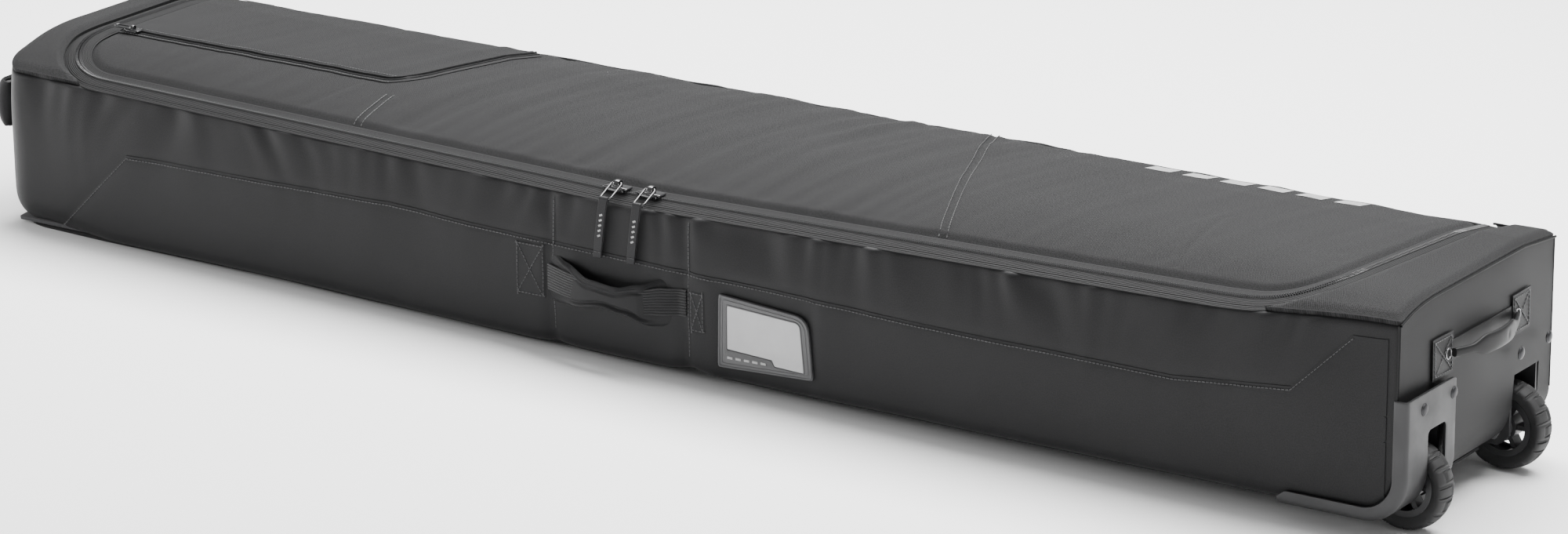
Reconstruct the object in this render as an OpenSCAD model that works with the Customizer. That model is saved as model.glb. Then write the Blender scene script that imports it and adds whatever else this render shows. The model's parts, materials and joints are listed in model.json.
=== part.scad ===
// Wheeled snowboard bag: a padded tub with a zipped lid, two wheels on steel brackets and three handles.
// Millimetres. X runs along the bag with the wheels at +X, -Y is the front side, +Z is up,
// and the origin is the middle of the flat base.

/* [Bag] */
// Distance from the origin to the outside of the wheel end
wheel_end_x = 826; // [700:1:950]
// Distance from the origin to the outside of the far end
far_end_x = 838; // [700:1:950]
// Half the width of the bag over its side walls
half_w = 156; // [150:1:170]
// Height of the front top edge at its lowest point, beside the sliders
front_top_z = 159.5; // [150:0.5:170]
// Height of the flat middle of the top
crown_z = 194; // [190:1:210]
// Thickness of the padded walls
wall = 8; // [6:0.5:10]
// Radius of the bottom edge at both ends
toe_r = 38; // [30:1:40]

/* [Main zip] */
// Distance of the zip from the middle of the bag, towards the front
zip_y = 138; // [134:1:140]
// Width of the half of the zip tape on the lid
tape_w = 14; // [10:0.5:16]
// Width of the half of the zip tape on the tub
tub_tape_w = 17.5; // [14:0.5:18]
// Rise of the zip towards the wheel end, per unit of length
rise_wheel = 0.0215; // [0.01:0.0005:0.03]
// Rise of the zip towards the far end, per unit of length
rise_far = 0.019; // [0.01:0.0005:0.025]

/* [Wheels] */
// Radius of the tyre
tyre_r = 44; // [38:0.5:45]
// Width of the tyre
tyre_w = 26; // [20:0.5:27]
// Distance of each wheel from the middle of the bag
wheel_y = 100; // [96:0.5:104]
// Height of the axles above the base
axle_z = 13; // [10:0.5:16]

/* [Handles] */
// How far the side handle bows away from the wall
side_bow = 16; // [10:1:20]
// How far the moulded end handle stands off the end panel
end_bow = 24; // [18:1:30]

/* [Hidden] */
$fn = 48;

black = "#232427";
charcoal = "#3b3c3e";
steel = "#6b6c6e";
rubber = "#2d2e30";
webbing = "#1c1d1f";

inner_w = half_w - wall;
skin = 1.5;
far = 2000;
seat_x = -32;
lid_back_y = inner_w - 0.5;
zip_back_y = inner_w - 12;
zip_corner_r = 76;
wheel_lean = 0.12;
far_corner_r = 36;
wheel_x = wheel_end_x - 16;
bracket_x = wheel_end_x + 12;
bracket_z = -10;
bracket_t = 3;
bracket_in = 60;
bracket_out = half_w + 1 + bracket_t;
bracket_r = 46;
bracket_top_z = 112;
rail_start_x = wheel_end_x - 121;
slot_w = 35;
slot_top_z = 74;
rivet_r = 2.4;
rivet_z = 97;
rivet_ys = [68, 126];
axle_r = 4;
bearing_r = 11;
bearing_w = 7;
rim_r = 30;
cheek_in = 24;
cheek_t = 4;
housing_back_x = wheel_end_x - 80;
housing_top_z = 70;
nut_w = 5;
handle_x = -44;
handle_z = 62;
handle_half = 80;
anchor_w = 36;
grip_y = 58;
grip_z = 134;
eyelet_y = 70;
far_handle_z = 122;
pocket_y = -48;
pocket_x = -400;
slider_l = 30;
slider_w = 12;
plate_t = 1.8;
ring_z = 6;
tab_w = 9.5;

// ---- outlines ----------------------------------------------------------------------

// Points of a circular fillet of radius r at corner b, between the lines to a and c
function fillet(a, b, c, r, n = 8) =
    let (u = (a - b) / norm(a - b), v = (c - b) / norm(c - b))
    let (half = acos(u * v) / 2, mid = (u + v) / norm(u + v), o = b + mid * r / sin(half))
    let (p = b + u * r / tan(half), q = b + v * r / tan(half))
    [for (i = [0:n]) let (m = p + (q - p) * i / n - o) o + m / norm(m) * r];

// Outline inside the main zip, grown by d; the wheel end leans outwards towards the back
function lean_x(y, d) = wheel_end_x - 96 + wheel_lean * (y + zip_y) + d * sqrt(1 + wheel_lean * wheel_lean);
function zip_outline(d, back = lid_back_y) =
    let (yf = -zip_y - d, far_x = -far_end_x + 56 - d)
    let (fr = [lean_x(yf, d), yf], fl = [far_x, yf], br = [lean_x(back, d), back], bl = [far_x, back])
    concat(fillet(fl, fr, br, zip_corner_r + d), [br, bl], fillet(bl, fl, fr, zip_corner_r + d));

// Plan outline of the bag, shrunk by d
module plan(d = 0) {
    r = far_corner_r - d;
    w = half_w - d;
    x = far_end_x - d;
    translate([-x + r, -w]) square([x - r + wheel_end_x - d, 2 * w]);
    translate([-x, -w + r]) square([far, 2 * (w - r)] - [far - 2 * r, 0]);
    for (s = [-1, 1]) translate([-x + r, s * (w - r)]) circle(r);
}

// Side outline of the bag below the top, shrunk by d; drawn in X and Z
module side(d = 0) {
    r = toe_r - d;
    for (e = [[wheel_end_x - d, 1], [-far_end_x + d, -1]])
        translate([e[0] - e[1] * r, toe_r]) circle(r);
    translate([-far_end_x + toe_r, d]) square([far_end_x + wheel_end_x - 2 * toe_r, 300]);
    translate([-far_end_x + d, toe_r]) square([far_end_x + wheel_end_x - 2 * d, 300]);
}

// Bent strip outline of the wheel bracket in X and Z, set back by d from its outer face
module bend(d) {
    r = bracket_r - d;
    x = bracket_x - d;
    z = bracket_z + d;
    translate([x - r, z + r]) circle(r);
    translate([rail_start_x, z]) square([x - r - rail_start_x, 60]);
    translate([x - r, z + r]) square([r, bracket_top_z - z - r]);
    translate([rail_start_x, z + 20]) square([x - r - rail_start_x, bracket_top_z - z - 20]);
}

// ---- helpers -----------------------------------------------------------------------

// Extrude a drawing in X and Z along Y, from y0 to y1
module along_y(y0, y1) translate([0, y1, 0]) rotate([90, 0, 0]) linear_extrude(y1 - y0) children();

// Extrude a drawing in Y and Z along X, from x0 to x1
module along_x(x0, x1) translate([x0, 0, 0]) rotate([90, 0, 90]) linear_extrude(x1 - x0) children();

module box(a, b) translate(a) cube(b - a);

module mirrored(side) {
    if (side < 0) children();
    else mirror([0, 1, 0]) children();
}

// Cross-section of the space below the front slope of the top
module slope(drop) polygon([
    [-half_w - 20, -60], [-half_w - 20, front_top_z - 11 - drop], [-zip_y, front_top_z - drop],
    [-110, front_top_z + 9 - drop], [-60, front_top_z + 20 - drop],
    [0, front_top_z + 28 - drop], [60, front_top_z + 33 - drop], [half_w + 20, crown_z + 8 - drop],
    [half_w + 20, -60]
]);

// Space below the top surface lowered by drop, on one side of the sliders: 1 is the wheel side
module half_below_top(side, drop) intersection() {
    translate([seat_x, 0, 0]) rotate([0, side > 0 ? -atan(rise_wheel) : atan(rise_far), 0])
        along_x(side > 0 ? -20 : -1000, side > 0 ? 1000 : 20) slope(drop);
    along_x(side > 0 ? seat_x : -far, side > 0 ? far : seat_x) polygon([
        [-half_w - 30, -60], [-half_w - 30, crown_z - drop], [90, crown_z - drop],
        [half_w + 30, crown_z - 10 - drop], [half_w + 30, -60]
    ]);
}

// The part of a solid that is below the top surface
module under_top() for (s = [-1, 1]) intersection() {
    children();
    half_below_top(s, 0);
}

// Layer that follows the top, from low to high above its surface, over a plan drawing
module top_layer(low, high) for (s = [-1, 1]) difference() {
    intersection() {
        translate([0, 0, 100]) linear_extrude(120) children();
        half_below_top(s, -high);
    }
    half_below_top(s, -low);
}

module zip_ring(inner, outer) difference() {
    polygon(zip_outline(outer, zip_back_y));
    polygon(zip_outline(inner, zip_back_y + 1));
}

// Height of the top surface on the main zip at x
function zip_z(x) = front_top_z + (x > seat_x ? rise_wheel * (x - seat_x) : rise_far * (seat_x - x));

// ---- tub ---------------------------------------------------------------------------

module housing_space() for (s = [-1, 1])
    translate([0, s * wheel_y, 0])
        box([housing_back_x, -36, -1], [wheel_end_x + 1, 36, housing_top_z + cheek_t]);

module floor_layer(z0, z1, inset) difference() {
    intersection() {
        translate([0, 0, z0]) linear_extrude(z1 - z0) plan(inset);
        box([-far_end_x + far_corner_r, -half_w, z0], [wheel_end_x - toe_r, half_w, z1]);
    }
    housing_space();
}

module base_panel() color(black) floor_layer(0, 3, wall);
module base_board() color("#4a4a46") floor_layer(3, 6.5, wall);

// Long wall between two values of Y
module long_wall(y0, y1) color(black) under_top() along_y(y0, y1) intersection() {
    side();
    translate([-far_end_x + far_corner_r, 0]) square([far, 300]);
}
module front_wall() long_wall(-half_w, -inner_w);
module back_wall() long_wall(inner_w, half_w);

module far_end_wall() color(black) under_top() difference() {
    intersection() {
        linear_extrude(300) intersection() {
            plan();
            translate([-far, -half_w]) square([far - far_end_x + far_corner_r, 2 * half_w]);
        }
        along_y(-half_w, half_w) side();
    }
    intersection() {
        translate([0, 0, -1]) linear_extrude(400) plan(wall);
        along_y(-half_w, half_w) side(wall);
    }
}

module rivet_holes() for (s = [-1, 1], y = rivet_ys)
    translate([wheel_end_x - 20, s * y, rivet_z]) rotate([0, 90, 0]) cylinder(r = rivet_r + 0.1, h = 40);

module wheel_end_panel() color(charcoal) difference() {
    under_top() along_y(-inner_w, inner_w) intersection() {
        difference() {
            side();
            side(wall);
        }
        translate([wheel_end_x - toe_r, -1]) square([toe_r, 300]);
    }
    housing_space();
    rivet_holes();
}

module reinforcement(side) color(black) mirrored(side) along_y(-half_w - skin, -half_w) polygon([
    [-758, 6], [-664, 103], [-184, 105], [316, 97], [700, 100], [775, 160], [810, 160], [810, 50], [772, 6]
]);
module front_reinforcement() reinforcement(-1);
module back_reinforcement() reinforcement(1);

module cap(x0, x1) color(charcoal) top_layer(-wall, 0) difference() {
    translate([x0, -inner_w]) square([x1 - x0, 2 * inner_w]);
    polygon(zip_outline(1, inner_w + 1));
}
module wheel_end_cap() difference() {
    cap(wheel_end_x - 190, wheel_end_x - wall);
    box([wheel_end_x - 200, -half_w, 0], [wheel_end_x - 130, -zip_y - 2, 300]);
}
module far_end_cap() color(charcoal) top_layer(-wall, 0) difference() {
    intersection() {
        plan(wall + 0.1);
        translate([-far_end_x, -inner_w]) square([90, 2 * inner_w]);
    }
    polygon(zip_outline(1, inner_w + 1));
}

module zip_tape_tub() color(charcoal) top_layer(0.1, 0.9) zip_ring(0.5, tub_tape_w);
module zip_teeth_tub() color("#101113") top_layer(0.9, 2.6) zip_ring(0.3, 2.8);

// ---- wheels and their brackets -----------------------------------------------------

module wheel_bracket(side) color(steel) mirrored(side) difference() {
    union() {
        along_y(-bracket_out, -bracket_in) difference() {
            bend(0);
            bend(bracket_t);
        }
        along_y(-bracket_out, -bracket_out + bracket_t) difference() {
            bend(bracket_t);
            bend(14);
        }
        along_y(-bracket_in - bracket_t, -bracket_in) difference() {
            bend(bracket_t);
            bend(9.5);
            translate([0, -20]) square([wheel_end_x - toe_r + 1, 300]);
        }
    }
    translate([0, -wheel_y, 0])
        box([wheel_x - 55, -slot_w / 2, -30], [bracket_x + 10, slot_w / 2, slot_top_z]);
    rivet_holes();
}
module wheel_bracket_front() wheel_bracket(-1);
module wheel_bracket_back() wheel_bracket(1);

// Moulded well that holds the axle between two cheeks
module wheel_housing(side) color("#1a1b1d") mirrored(side) translate([0, -wheel_y, 0]) difference() {
    along_y(-cheek_in - cheek_t, cheek_in + cheek_t) intersection() {
        translate([housing_back_x, 0]) square([wheel_end_x - housing_back_x, housing_top_z + cheek_t]);
        bend(bracket_t + 0.5);
    }
    box([housing_back_x + cheek_t, -cheek_in, -1], [wheel_end_x + 1, cheek_in, housing_top_z]);
    translate([wheel_x, 0, axle_z]) rotate([90, 0, 0]) cylinder(r = axle_r + 0.1, h = 100, center = true);
}
module wheel_housing_front() wheel_housing(-1);
module wheel_housing_back() wheel_housing(1);

module bracket_rivets() color("#2b2c2e") for (s = [-1, 1], y = rivet_ys)
    translate([wheel_end_x - 12.5, s * y, rivet_z]) rotate([0, 90, 0]) {
        cylinder(r = rivet_r, h = 24.5);
        translate([0, 0, 24.5]) cylinder(r1 = 5, r2 = 3.4, h = 2);
        translate([0, 0, -1.5]) cylinder(r = 4.5, h = 1.5);
    }

module backing_plates() color(steel) difference() {
    for (s = [-1, 1])
        translate([0, s * wheel_y, 0]) box([wheel_end_x - wall - 4.5, -36, 84], [wheel_end_x - wall, 36, 110]);
    rivet_holes();
}

module axle_at(side) translate([wheel_x, side * wheel_y, axle_z]) rotate([90, 0, 0]) children();
module axle(side) color("#9a9b9d") axle_at(side) cylinder(r = axle_r, h = 68, center = true);
module axle_front() axle(-1);
module axle_back() axle(1);

module axle_nuts() color("#8c8d8f") for (s = [-1, 1], e = [-1, 1])
    axle_at(s) translate([0, 0, e * (cheek_in + cheek_t + nut_w / 2)]) difference() {
        cylinder(r = 7, h = nut_w, center = true, $fn = 6);
        cylinder(r = axle_r, h = nut_w + 1, center = true);
    }

module tyre(side) color(rubber) axle_at(side) rotate_extrude($fn = 72) polygon([
    [rim_r, -tyre_w / 2 + 2], [tyre_r - 5, -tyre_w / 2], [tyre_r - 1.5, -tyre_w / 4], [tyre_r, 0],
    [tyre_r - 1.5, tyre_w / 4], [tyre_r - 5, tyre_w / 2], [rim_r, tyre_w / 2 - 2]
]);
module tyre_front() tyre(-1);
module tyre_back() tyre(1);

module rim(side) color("#191a1c") axle_at(side) difference() {
    union() {
        rotate_extrude() difference() {
            translate([24, -tyre_w / 2 + 2]) square([rim_r - 24, tyre_w - 4]);
            translate([23, -tyre_w / 2 + 6]) square([3, tyre_w - 12]);
        }
        cylinder(r = bearing_r + 3.5, h = tyre_w - 4, center = true);
        for (a = [0:60:300]) rotate([0, 0, a]) translate([13, -2.5, -7]) cube([12.5, 5, 14]);
    }
    for (e = [-1, 1]) translate([0, 0, e * (tyre_w / 2 - 2)])
        cylinder(r = bearing_r, h = 2 * bearing_w, center = true);
    cylinder(r = axle_r + 2, h = tyre_w, center = true);
}
module rim_front() rim(-1);
module rim_back() rim(1);

module bearings(side) color("#a7a8aa") for (e = [-1, 1])
    axle_at(side) translate([0, 0, e * (tyre_w / 2 - 2 - bearing_w / 2)]) difference() {
        cylinder(r = bearing_r, h = bearing_w, center = true);
        cylinder(r = axle_r + 0.05, h = bearing_w + 1, center = true);
    }
module bearings_front() bearings(-1);
module bearings_back() bearings(1);

// ---- fittings on the tub -----------------------------------------------------------

// Corners of the identity card holder's frame, in X and Z
id_outer = [[81, 9], [192, 14], [186, 77], [82, 84]];
id_inner = [[92, 29], [144, 27], [147, 21], [181, 20], [176, 69], [92, 73]];

module id_frame() color("#444547") along_y(-half_w - 5, -half_w - skin) difference() {
    polygon(id_outer);
    polygon(id_inner);
}
module id_window() color([0.7, 0.7, 0.7, 0.6]) along_y(-half_w - 3.5, -half_w - 2.7) polygon(id_inner);
module id_card() color("#9c9d9f") along_y(-half_w - 2.6, -half_w - skin) polygon(id_inner);

module side_handle_anchors() color(webbing) for (e = [-1, 1])
    translate([handle_x + e * (handle_half + anchor_w / 2), 0, handle_z + 6])
        box([-anchor_w / 2, -half_w - skin - 2.5, -30], [anchor_w / 2, -half_w - skin, 30]);

module end_handle_base() color(webbing) difference() {
    union() {
        box([wheel_end_x, -98, grip_z - 10], [wheel_end_x + 2, 98, grip_z + 10]);
        for (s = [-1, 1]) translate([0, s * 79, grip_z])
            box([wheel_end_x, -20, -20], [wheel_end_x + 2, 20, 20]);
    }
    eyelet_places() cylinder(r = 4.5, h = 20, center = true);
}

module eyelet_places() for (s = [-1, 1])
    translate([wheel_end_x, s * eyelet_y, grip_z]) rotate([0, 90, 0]) children();

module end_handle_eyelets() color("#8e8f91") eyelet_places() difference() {
    union() {
        cylinder(r = 4.5, h = 2);
        translate([0, 0, 2]) cylinder(r = 6.5, h = 0.8);
    }
    translate([0, 0, 1.4]) cylinder(r = 3, h = 6);
}

module far_handle_anchors() color(webbing) for (s = [-1, 1])
    translate([-far_end_x, s * 96, far_handle_z]) box([-2.5, -16, -25], [0, 16, 25]);

module back_strap_loop() color(webbing) translate([773, half_w, 168]) along_x(-12, 12) difference() {
    translate([4, 4]) circle(10);
    translate([4, 4]) circle(7.5);
    translate([-20, -20]) square([20, 40]);
}

// ---- lid ---------------------------------------------------------------------------

module lid_panel() color(charcoal) top_layer(-wall, 0) polygon(zip_outline(-1));
module lid_foam() color("#2a2b2d") top_layer(-wall - 5, -wall) polygon(zip_outline(-8, lid_back_y - 8));
module zip_tape_lid() color(charcoal) top_layer(0.1, 0.9) zip_ring(-tape_w, -0.5);
module zip_teeth_lid() color("#101113") top_layer(0.9, 2.6) zip_ring(-2.8, -0.3);

// Pocket area on the lid, from its zip to the lid's back edge
module pocket_area(d) polygon([
    [-768 - d, 140 + d], [-768 - d, pocket_y - d], [pocket_x + d, pocket_y + 12 - d],
    [pocket_x + 12 + d, pocket_y + 25], [pocket_x + 62 + d, 140 + d]
]);

module pocket_panel() color(charcoal) top_layer(0, 2) pocket_area(-8);
module pocket_zip() color("#141517") top_layer(0, 1.5) difference() {
    pocket_area(0);
    pocket_area(-7.8);
    translate([-900, 120]) square([600, 60]);
    translate([-900, -100]) square([137, 300]);
}
module pocket_flap() color(charcoal) top_layer(2, 4) difference() {
    pocket_area(-9);
    pocket_area(-17);
    translate([-900, 120]) square([600, 60]);
    translate([-900, -100]) square([150, 300]);
}

module print_patch() color("#77787a") top_layer(0, 0.5)
    for (i = [0:5]) translate([396 + 42 * i, 118]) square([30, 18]);

module lid_label() color("#55565a") top_layer(0, 1.2) translate([-764, 141.2]) square([62, 5]);

// ---- sliders and pulls -------------------------------------------------------------

// Slider that rides over both rows of teeth; its crown stands across it, or along it when turned
module slider(turned = 0) {
    difference() {
        box([-slider_l / 2, -slider_w / 2, 0], [slider_l / 2, slider_w / 2, plate_t]);
        for (e = [-1, 1], f = [-1, 1])
            translate([e * slider_l / 2, f * (slider_w / 2 + 3), -1]) cylinder(r = 6, h = 6);
    }
    rotate([0, 0, turned]) difference() {
        box([-3.5, -5, plate_t - 0.5], [3.5, 5, 9]);
        box([-4, -3.2, plate_t], [4, 3.2, 7.6]);
    }
}

function slider_x(side) = seat_x + side * 20;
slider_lift = 3.9;
hang_a = 26;
ring_l = 26;

module main_slider(side) color("#0c0c0e")
    translate([slider_x(side), -zip_y, zip_z(slider_x(side)) + slider_lift]) slider();
module slider_left() main_slider(-1);
module slider_right() main_slider(1);

module pull_place(side)
    translate([slider_x(side), -zip_y, zip_z(slider_x(side)) + slider_lift + ring_z]) children();

// Wire ring through the crown, lying over the front edge of the bag
module pull_ring(side) color("#0c0c0e") pull_place(side) rotate([hang_a, 0, 0]) difference() {
    box([-7, -ring_l - 1, -1], [7, 1, 1]);
    box([-4.8, -ring_l + 1, -2], [4.8, -1, 2]);
}
module pull_ring_left() pull_ring(-1);
module pull_ring_right() pull_ring(1);

// Cloth tab folded through the ring, hanging down the front
module pull_tab(side) color(webbing) pull_place(side) translate([0, -ring_l * cos(hang_a), 0]) {
    box([-tab_w / 2, -2.5, -72], [tab_w / 2, -0.5, -ring_l * sin(hang_a) - 2.5]);
    translate([0, 0, -ring_l * sin(hang_a)]) rotate([0, 90, 0]) difference() {
        cylinder(r = 3, h = 9, center = true);
        cylinder(r = 1.5, h = 10, center = true);
    }
}
module pull_tab_left() pull_tab(-1);
module pull_tab_right() pull_tab(1);

pocket_slider_x = -745;
pocket_scale = 0.7;
pocket_z = crown_z;

module pocket_place()
    translate([pocket_slider_x, pocket_y + 4, pocket_z + 4])
        scale(pocket_scale) children();
module pocket_slider() color("#0c0c0e") pocket_place() slider(90);
module pocket_pull() color("#0c0c0e") pocket_place() translate([0, 0, ring_z]) difference() {
    box([-34, -7, -1], [1, 7, 1]);
    box([-12, -4.6, -2], [-1, 4.6, 2]);
}

// ---- handles -----------------------------------------------------------------------

// Plan of a bowed band: chord 2 * half, bowed out by bow towards -Y, from depth a to b behind the crest
module bow_band(half, bow, a, b) {
    r = (half * half + bow * bow) / (2 * bow);
    intersection() {
        translate([0, r - bow]) difference() {
            circle(r - a, $fn = 180);
            circle(r - b, $fn = 180);
        }
        translate([-half, -bow - 5]) square([2 * half, bow + 5]);
    }
}

module on_front(z0, z1) translate([handle_x, -half_w - 4, z0]) linear_extrude(z1 - z0) children();

module side_handle_strap() color(webbing)
    on_front(handle_z - 13, handle_z + 14) bow_band(handle_half, side_bow, 2, 4);

module side_handle_sleeve() color("#202123") difference() {
    intersection() {
        on_front(handle_z - 25, handle_z + 25) bow_band(handle_half, side_bow, 0, 6);
        box([handle_x - 66, -half_w - 30, 0], [handle_x + 50, -half_w, 200]);
    }
    on_front(handle_z - 13, handle_z + 14) bow_band(handle_half, side_bow, 2, 4);
}

module end_handle_grip() color("#1f2022") intersection() {
    translate([wheel_end_x + 4, 0, 0]) rotate([0, 0, 90]) linear_extrude(300)
        bow_band(grip_y + 6, end_bow - 2, 0, 4);
    along_x(wheel_end_x, wheel_end_x + 60) polygon([
        [-grip_y, grip_z - 5], [-38, grip_z - 10], [38, grip_z - 10], [grip_y, grip_z - 5],
        [grip_y, grip_z + 5], [38, grip_z + 10], [-38, grip_z + 10], [-grip_y, grip_z + 5]
    ]);
}

module far_handle_strap() color(webbing) translate([-far_end_x, 0, far_handle_z - 25]) linear_extrude(50)
    difference() {
        polygon([[-3, -112], [-22, -132], [-34, -125], [-38, 0], [-34, 125], [-22, 132], [-3, 112]]);
        polygon([[-3, -108], [-22, -126], [-31, -121], [-34, 0], [-31, 121], [-22, 126], [-3, 108]]);
        translate([-3.1, -200]) square([10, 400]);
    }

base_panel();
base_board();
front_wall();
back_wall();
far_end_wall();
wheel_end_panel();
front_reinforcement();
back_reinforcement();
wheel_end_cap();
far_end_cap();
zip_tape_tub();
zip_teeth_tub();
wheel_bracket_front();
wheel_bracket_back();
wheel_housing_front();
wheel_housing_back();
bracket_rivets();
backing_plates();
axle_front();
axle_back();
axle_nuts();
id_frame();
id_window();
id_card();
side_handle_anchors();
end_handle_base();
end_handle_eyelets();
far_handle_anchors();
back_strap_loop();
lid_panel();
lid_foam();
zip_tape_lid();
zip_teeth_lid();
pocket_panel();
pocket_flap();
pocket_zip();
print_patch();
lid_label();
slider_left();
slider_right();
pull_ring_left();
pull_ring_right();
pull_tab_left();
pull_tab_right();
pocket_slider();
pocket_pull();
tyre_front();
tyre_back();
rim_front();
rim_back();
bearings_front();
bearings_back();
side_handle_strap();
side_handle_sleeve();
end_handle_grip();
far_handle_strap();
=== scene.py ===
import json
import math

import bmesh
import bpy
from mathutils import Matrix, Vector, noise


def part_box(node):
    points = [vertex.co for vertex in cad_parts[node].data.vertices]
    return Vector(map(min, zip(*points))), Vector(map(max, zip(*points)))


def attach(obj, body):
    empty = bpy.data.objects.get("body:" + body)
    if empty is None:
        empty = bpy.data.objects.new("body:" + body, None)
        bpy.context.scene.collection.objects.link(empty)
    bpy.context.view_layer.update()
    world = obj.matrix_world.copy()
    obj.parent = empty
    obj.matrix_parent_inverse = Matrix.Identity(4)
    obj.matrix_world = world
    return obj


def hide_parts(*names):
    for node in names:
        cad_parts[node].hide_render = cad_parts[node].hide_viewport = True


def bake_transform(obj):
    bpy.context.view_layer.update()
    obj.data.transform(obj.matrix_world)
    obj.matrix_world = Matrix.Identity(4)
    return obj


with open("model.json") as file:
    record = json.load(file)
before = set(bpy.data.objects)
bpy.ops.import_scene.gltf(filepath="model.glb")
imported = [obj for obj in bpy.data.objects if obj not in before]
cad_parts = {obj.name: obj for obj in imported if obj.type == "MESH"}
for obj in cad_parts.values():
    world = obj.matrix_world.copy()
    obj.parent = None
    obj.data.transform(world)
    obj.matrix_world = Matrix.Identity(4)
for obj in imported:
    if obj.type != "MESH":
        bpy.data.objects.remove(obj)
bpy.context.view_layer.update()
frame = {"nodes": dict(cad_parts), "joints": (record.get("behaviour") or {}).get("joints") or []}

# ---- Studio -------------------------------------------------------------------------
# The bag stands on its two wheels and on the bottom edge of its far end, so the pale
# floor leans by about one degree to touch all three. One large soft light is overhead,
# and two weaker ones are at the sides.

tyre_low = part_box("tyre_front")[0]
far_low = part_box("far_end_wall")[0]
lean = math.atan2(far_low.z - tyre_low.z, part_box("tyre_front")[1].x - 0.044 - far_low.x - 0.03)

cam_data = bpy.data.cameras.new("camera")
cam_data.lens = 135.0
cam_data.sensor_width = 36.0
cam_data.shift_x = -0.0433
cam_data.shift_y = -0.0383
cam = bpy.data.objects.new("camera", cam_data)
bpy.context.scene.collection.objects.link(cam)
cam.location = (3.1625, -4.6608, 1.8468)
turn, drop = math.radians(33.02), math.radians(17.07)
sight = Vector((-math.sin(turn) * math.cos(drop), math.cos(turn) * math.cos(drop), -math.sin(drop)))
cam.rotation_euler = sight.to_track_quat("-Z", "Y").to_euler()
bpy.context.scene.camera = cam


def plain_material(name, colour, roughness):
    material = bpy.data.materials.new(name)
    material.use_nodes = True
    shader = material.node_tree.nodes["Principled BSDF"]
    shader.inputs["Base Color"].default_value = (*colour, 1)
    shader.inputs["Roughness"].default_value = roughness
    return material


bpy.ops.object.select_all(action="DESELECT")
bpy.ops.mesh.primitive_plane_add(size=40)
floor = bpy.context.object
floor.name = "floor"
floor.rotation_euler = (0, lean, 0)
floor.location = (tyre_low.x + 0.044, 0, tyre_low.z - 0.0005)
floor.data.materials.append(plain_material("floor_paper", (0.92, 0.92, 0.92), 0.9))

world = bpy.data.worlds.new("studio")
bpy.context.scene.world = world
world.use_nodes = True
world.node_tree.nodes["Background"].inputs["Color"].default_value = (1, 1, 1, 1)
world.node_tree.nodes["Background"].inputs["Strength"].default_value = 0.55


def soft_light(name, place, aim, size, power):
    data = bpy.data.lights.new(name, "AREA")
    data.shape = "RECTANGLE"
    data.size, data.size_y = size
    data.energy = power
    light = bpy.data.objects.new(name, data)
    bpy.context.scene.collection.objects.link(light)
    light.location = place
    light.rotation_euler = (Vector(aim) - Vector(place)).to_track_quat("-Z", "Y").to_euler()


soft_light("overhead", (0.1, 0.9, 2.6), (0, 0, 0), (4.2, 2.0), 440)
soft_light("wheel_side", (3.2, 1.6, 0.9), (0.8, 0, 0.1), (0.8, 0.8), 2.5)
soft_light("front_left", (-3.4, -1.7, 0.9), (-0.1, -0.1, 0.1), (0.7, 0.7), 60)

# ---- Shape of the bag -----------------------------------------------------------------
# The bag is a padded tub whose lid zips on. The top is lowest at its front edge beside
# the sliders, rises gently towards both ends and is crowned across; the walls bow out
# between their seams, and the cloth puckers under the zip where it is gathered.

HALF_W = -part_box("front_wall")[0].y
FAR_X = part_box("far_end_wall")[0].x
END_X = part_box("wheel_end_panel")[1].x
ZIP_Y = -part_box("slider_left")[0].y - 0.006
SEAT_X = (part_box("slider_left")[0].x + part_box("slider_right")[1].x) / 2
SEAT_Z = 0.1595
CROWN_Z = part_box("lid_panel")[1].z
LID_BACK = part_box("lid_panel")[1].y
CORNER_R = 0.036
TOE_R = 0.038
axes = {j["name"]: j["axis"] for j in frame["joints"]}
RISE_WHEEL = axes["slider_right_slide"][2] / axes["slider_right_slide"][0]
RISE_FAR = -axes["slider_left_slide"][2] / axes["slider_left_slide"][0]


def clamp(t, low=0.0, high=1.0):
    return max(low, min(high, t))


def smooth(t):
    t = clamp(t)
    return t * t * (3 - 2 * t)


def bump(distance, width):
    """A soft ridge: 1 on a line, fading over width on each side of it."""
    return math.exp(-(distance / width) ** 2)


def wave(x, y, z=0.0):
    return noise.noise(Vector((x, y, z)))


def top_z(x, y):
    """Height of the top of the bag, before padding and wrinkles."""
    rise = RISE_WHEEL * (x - SEAT_X) if x > SEAT_X else RISE_FAR * (SEAT_X - x)
    t = (y + ZIP_Y) / 0.198
    slope = 0.3 * (y + ZIP_Y) if t < 0 else 0.033 * (1 - (1 - clamp(t)) ** 1.9)
    slope += 0.08 * max(0.0, y - 0.06)
    lift = 0.010 * smooth((x - 0.62) / 0.19) * (1 - clamp(t))
    low = SEAT_Z + slope + rise + lift
    high = CROWN_Z - 0.103 * max(0.0, y - 0.09)
    blend = 0.006
    share = clamp(0.5 + 0.5 * (high - low) / blend)
    return high * (1 - share) + low * share - blend * share * (1 - share)


def base_z(x):
    """Height of the underside, which sags towards the wheels and turns up at both toes."""
    sag = 0.0075 * smooth((x + 0.6) / 0.55)
    sag -= 0.004 * bump(x - 0.043, 0.018) + 0.002 * bump(x + 0.12, 0.018)
    toe = 0.0
    for end, sign in ((END_X, 1), (FAR_X, -1)):
        past = sign * (x - end) + TOE_R
        if past > 0:
            toe = TOE_R - math.sqrt(max(0.0, TOE_R ** 2 - min(past, TOE_R) ** 2))
    return toe - sag * (1 - clamp(toe / 0.02))


LOWER_SEAM = ((-0.758, 0.012), (-0.664, 0.103), (-0.321, 0.110), (-0.184, 0.105), (0.316, 0.095),
              (0.592, 0.094), (0.716, 0.106), (0.777, 0.165))
SIDE_SEAMS = (-0.120, 0.043)


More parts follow.
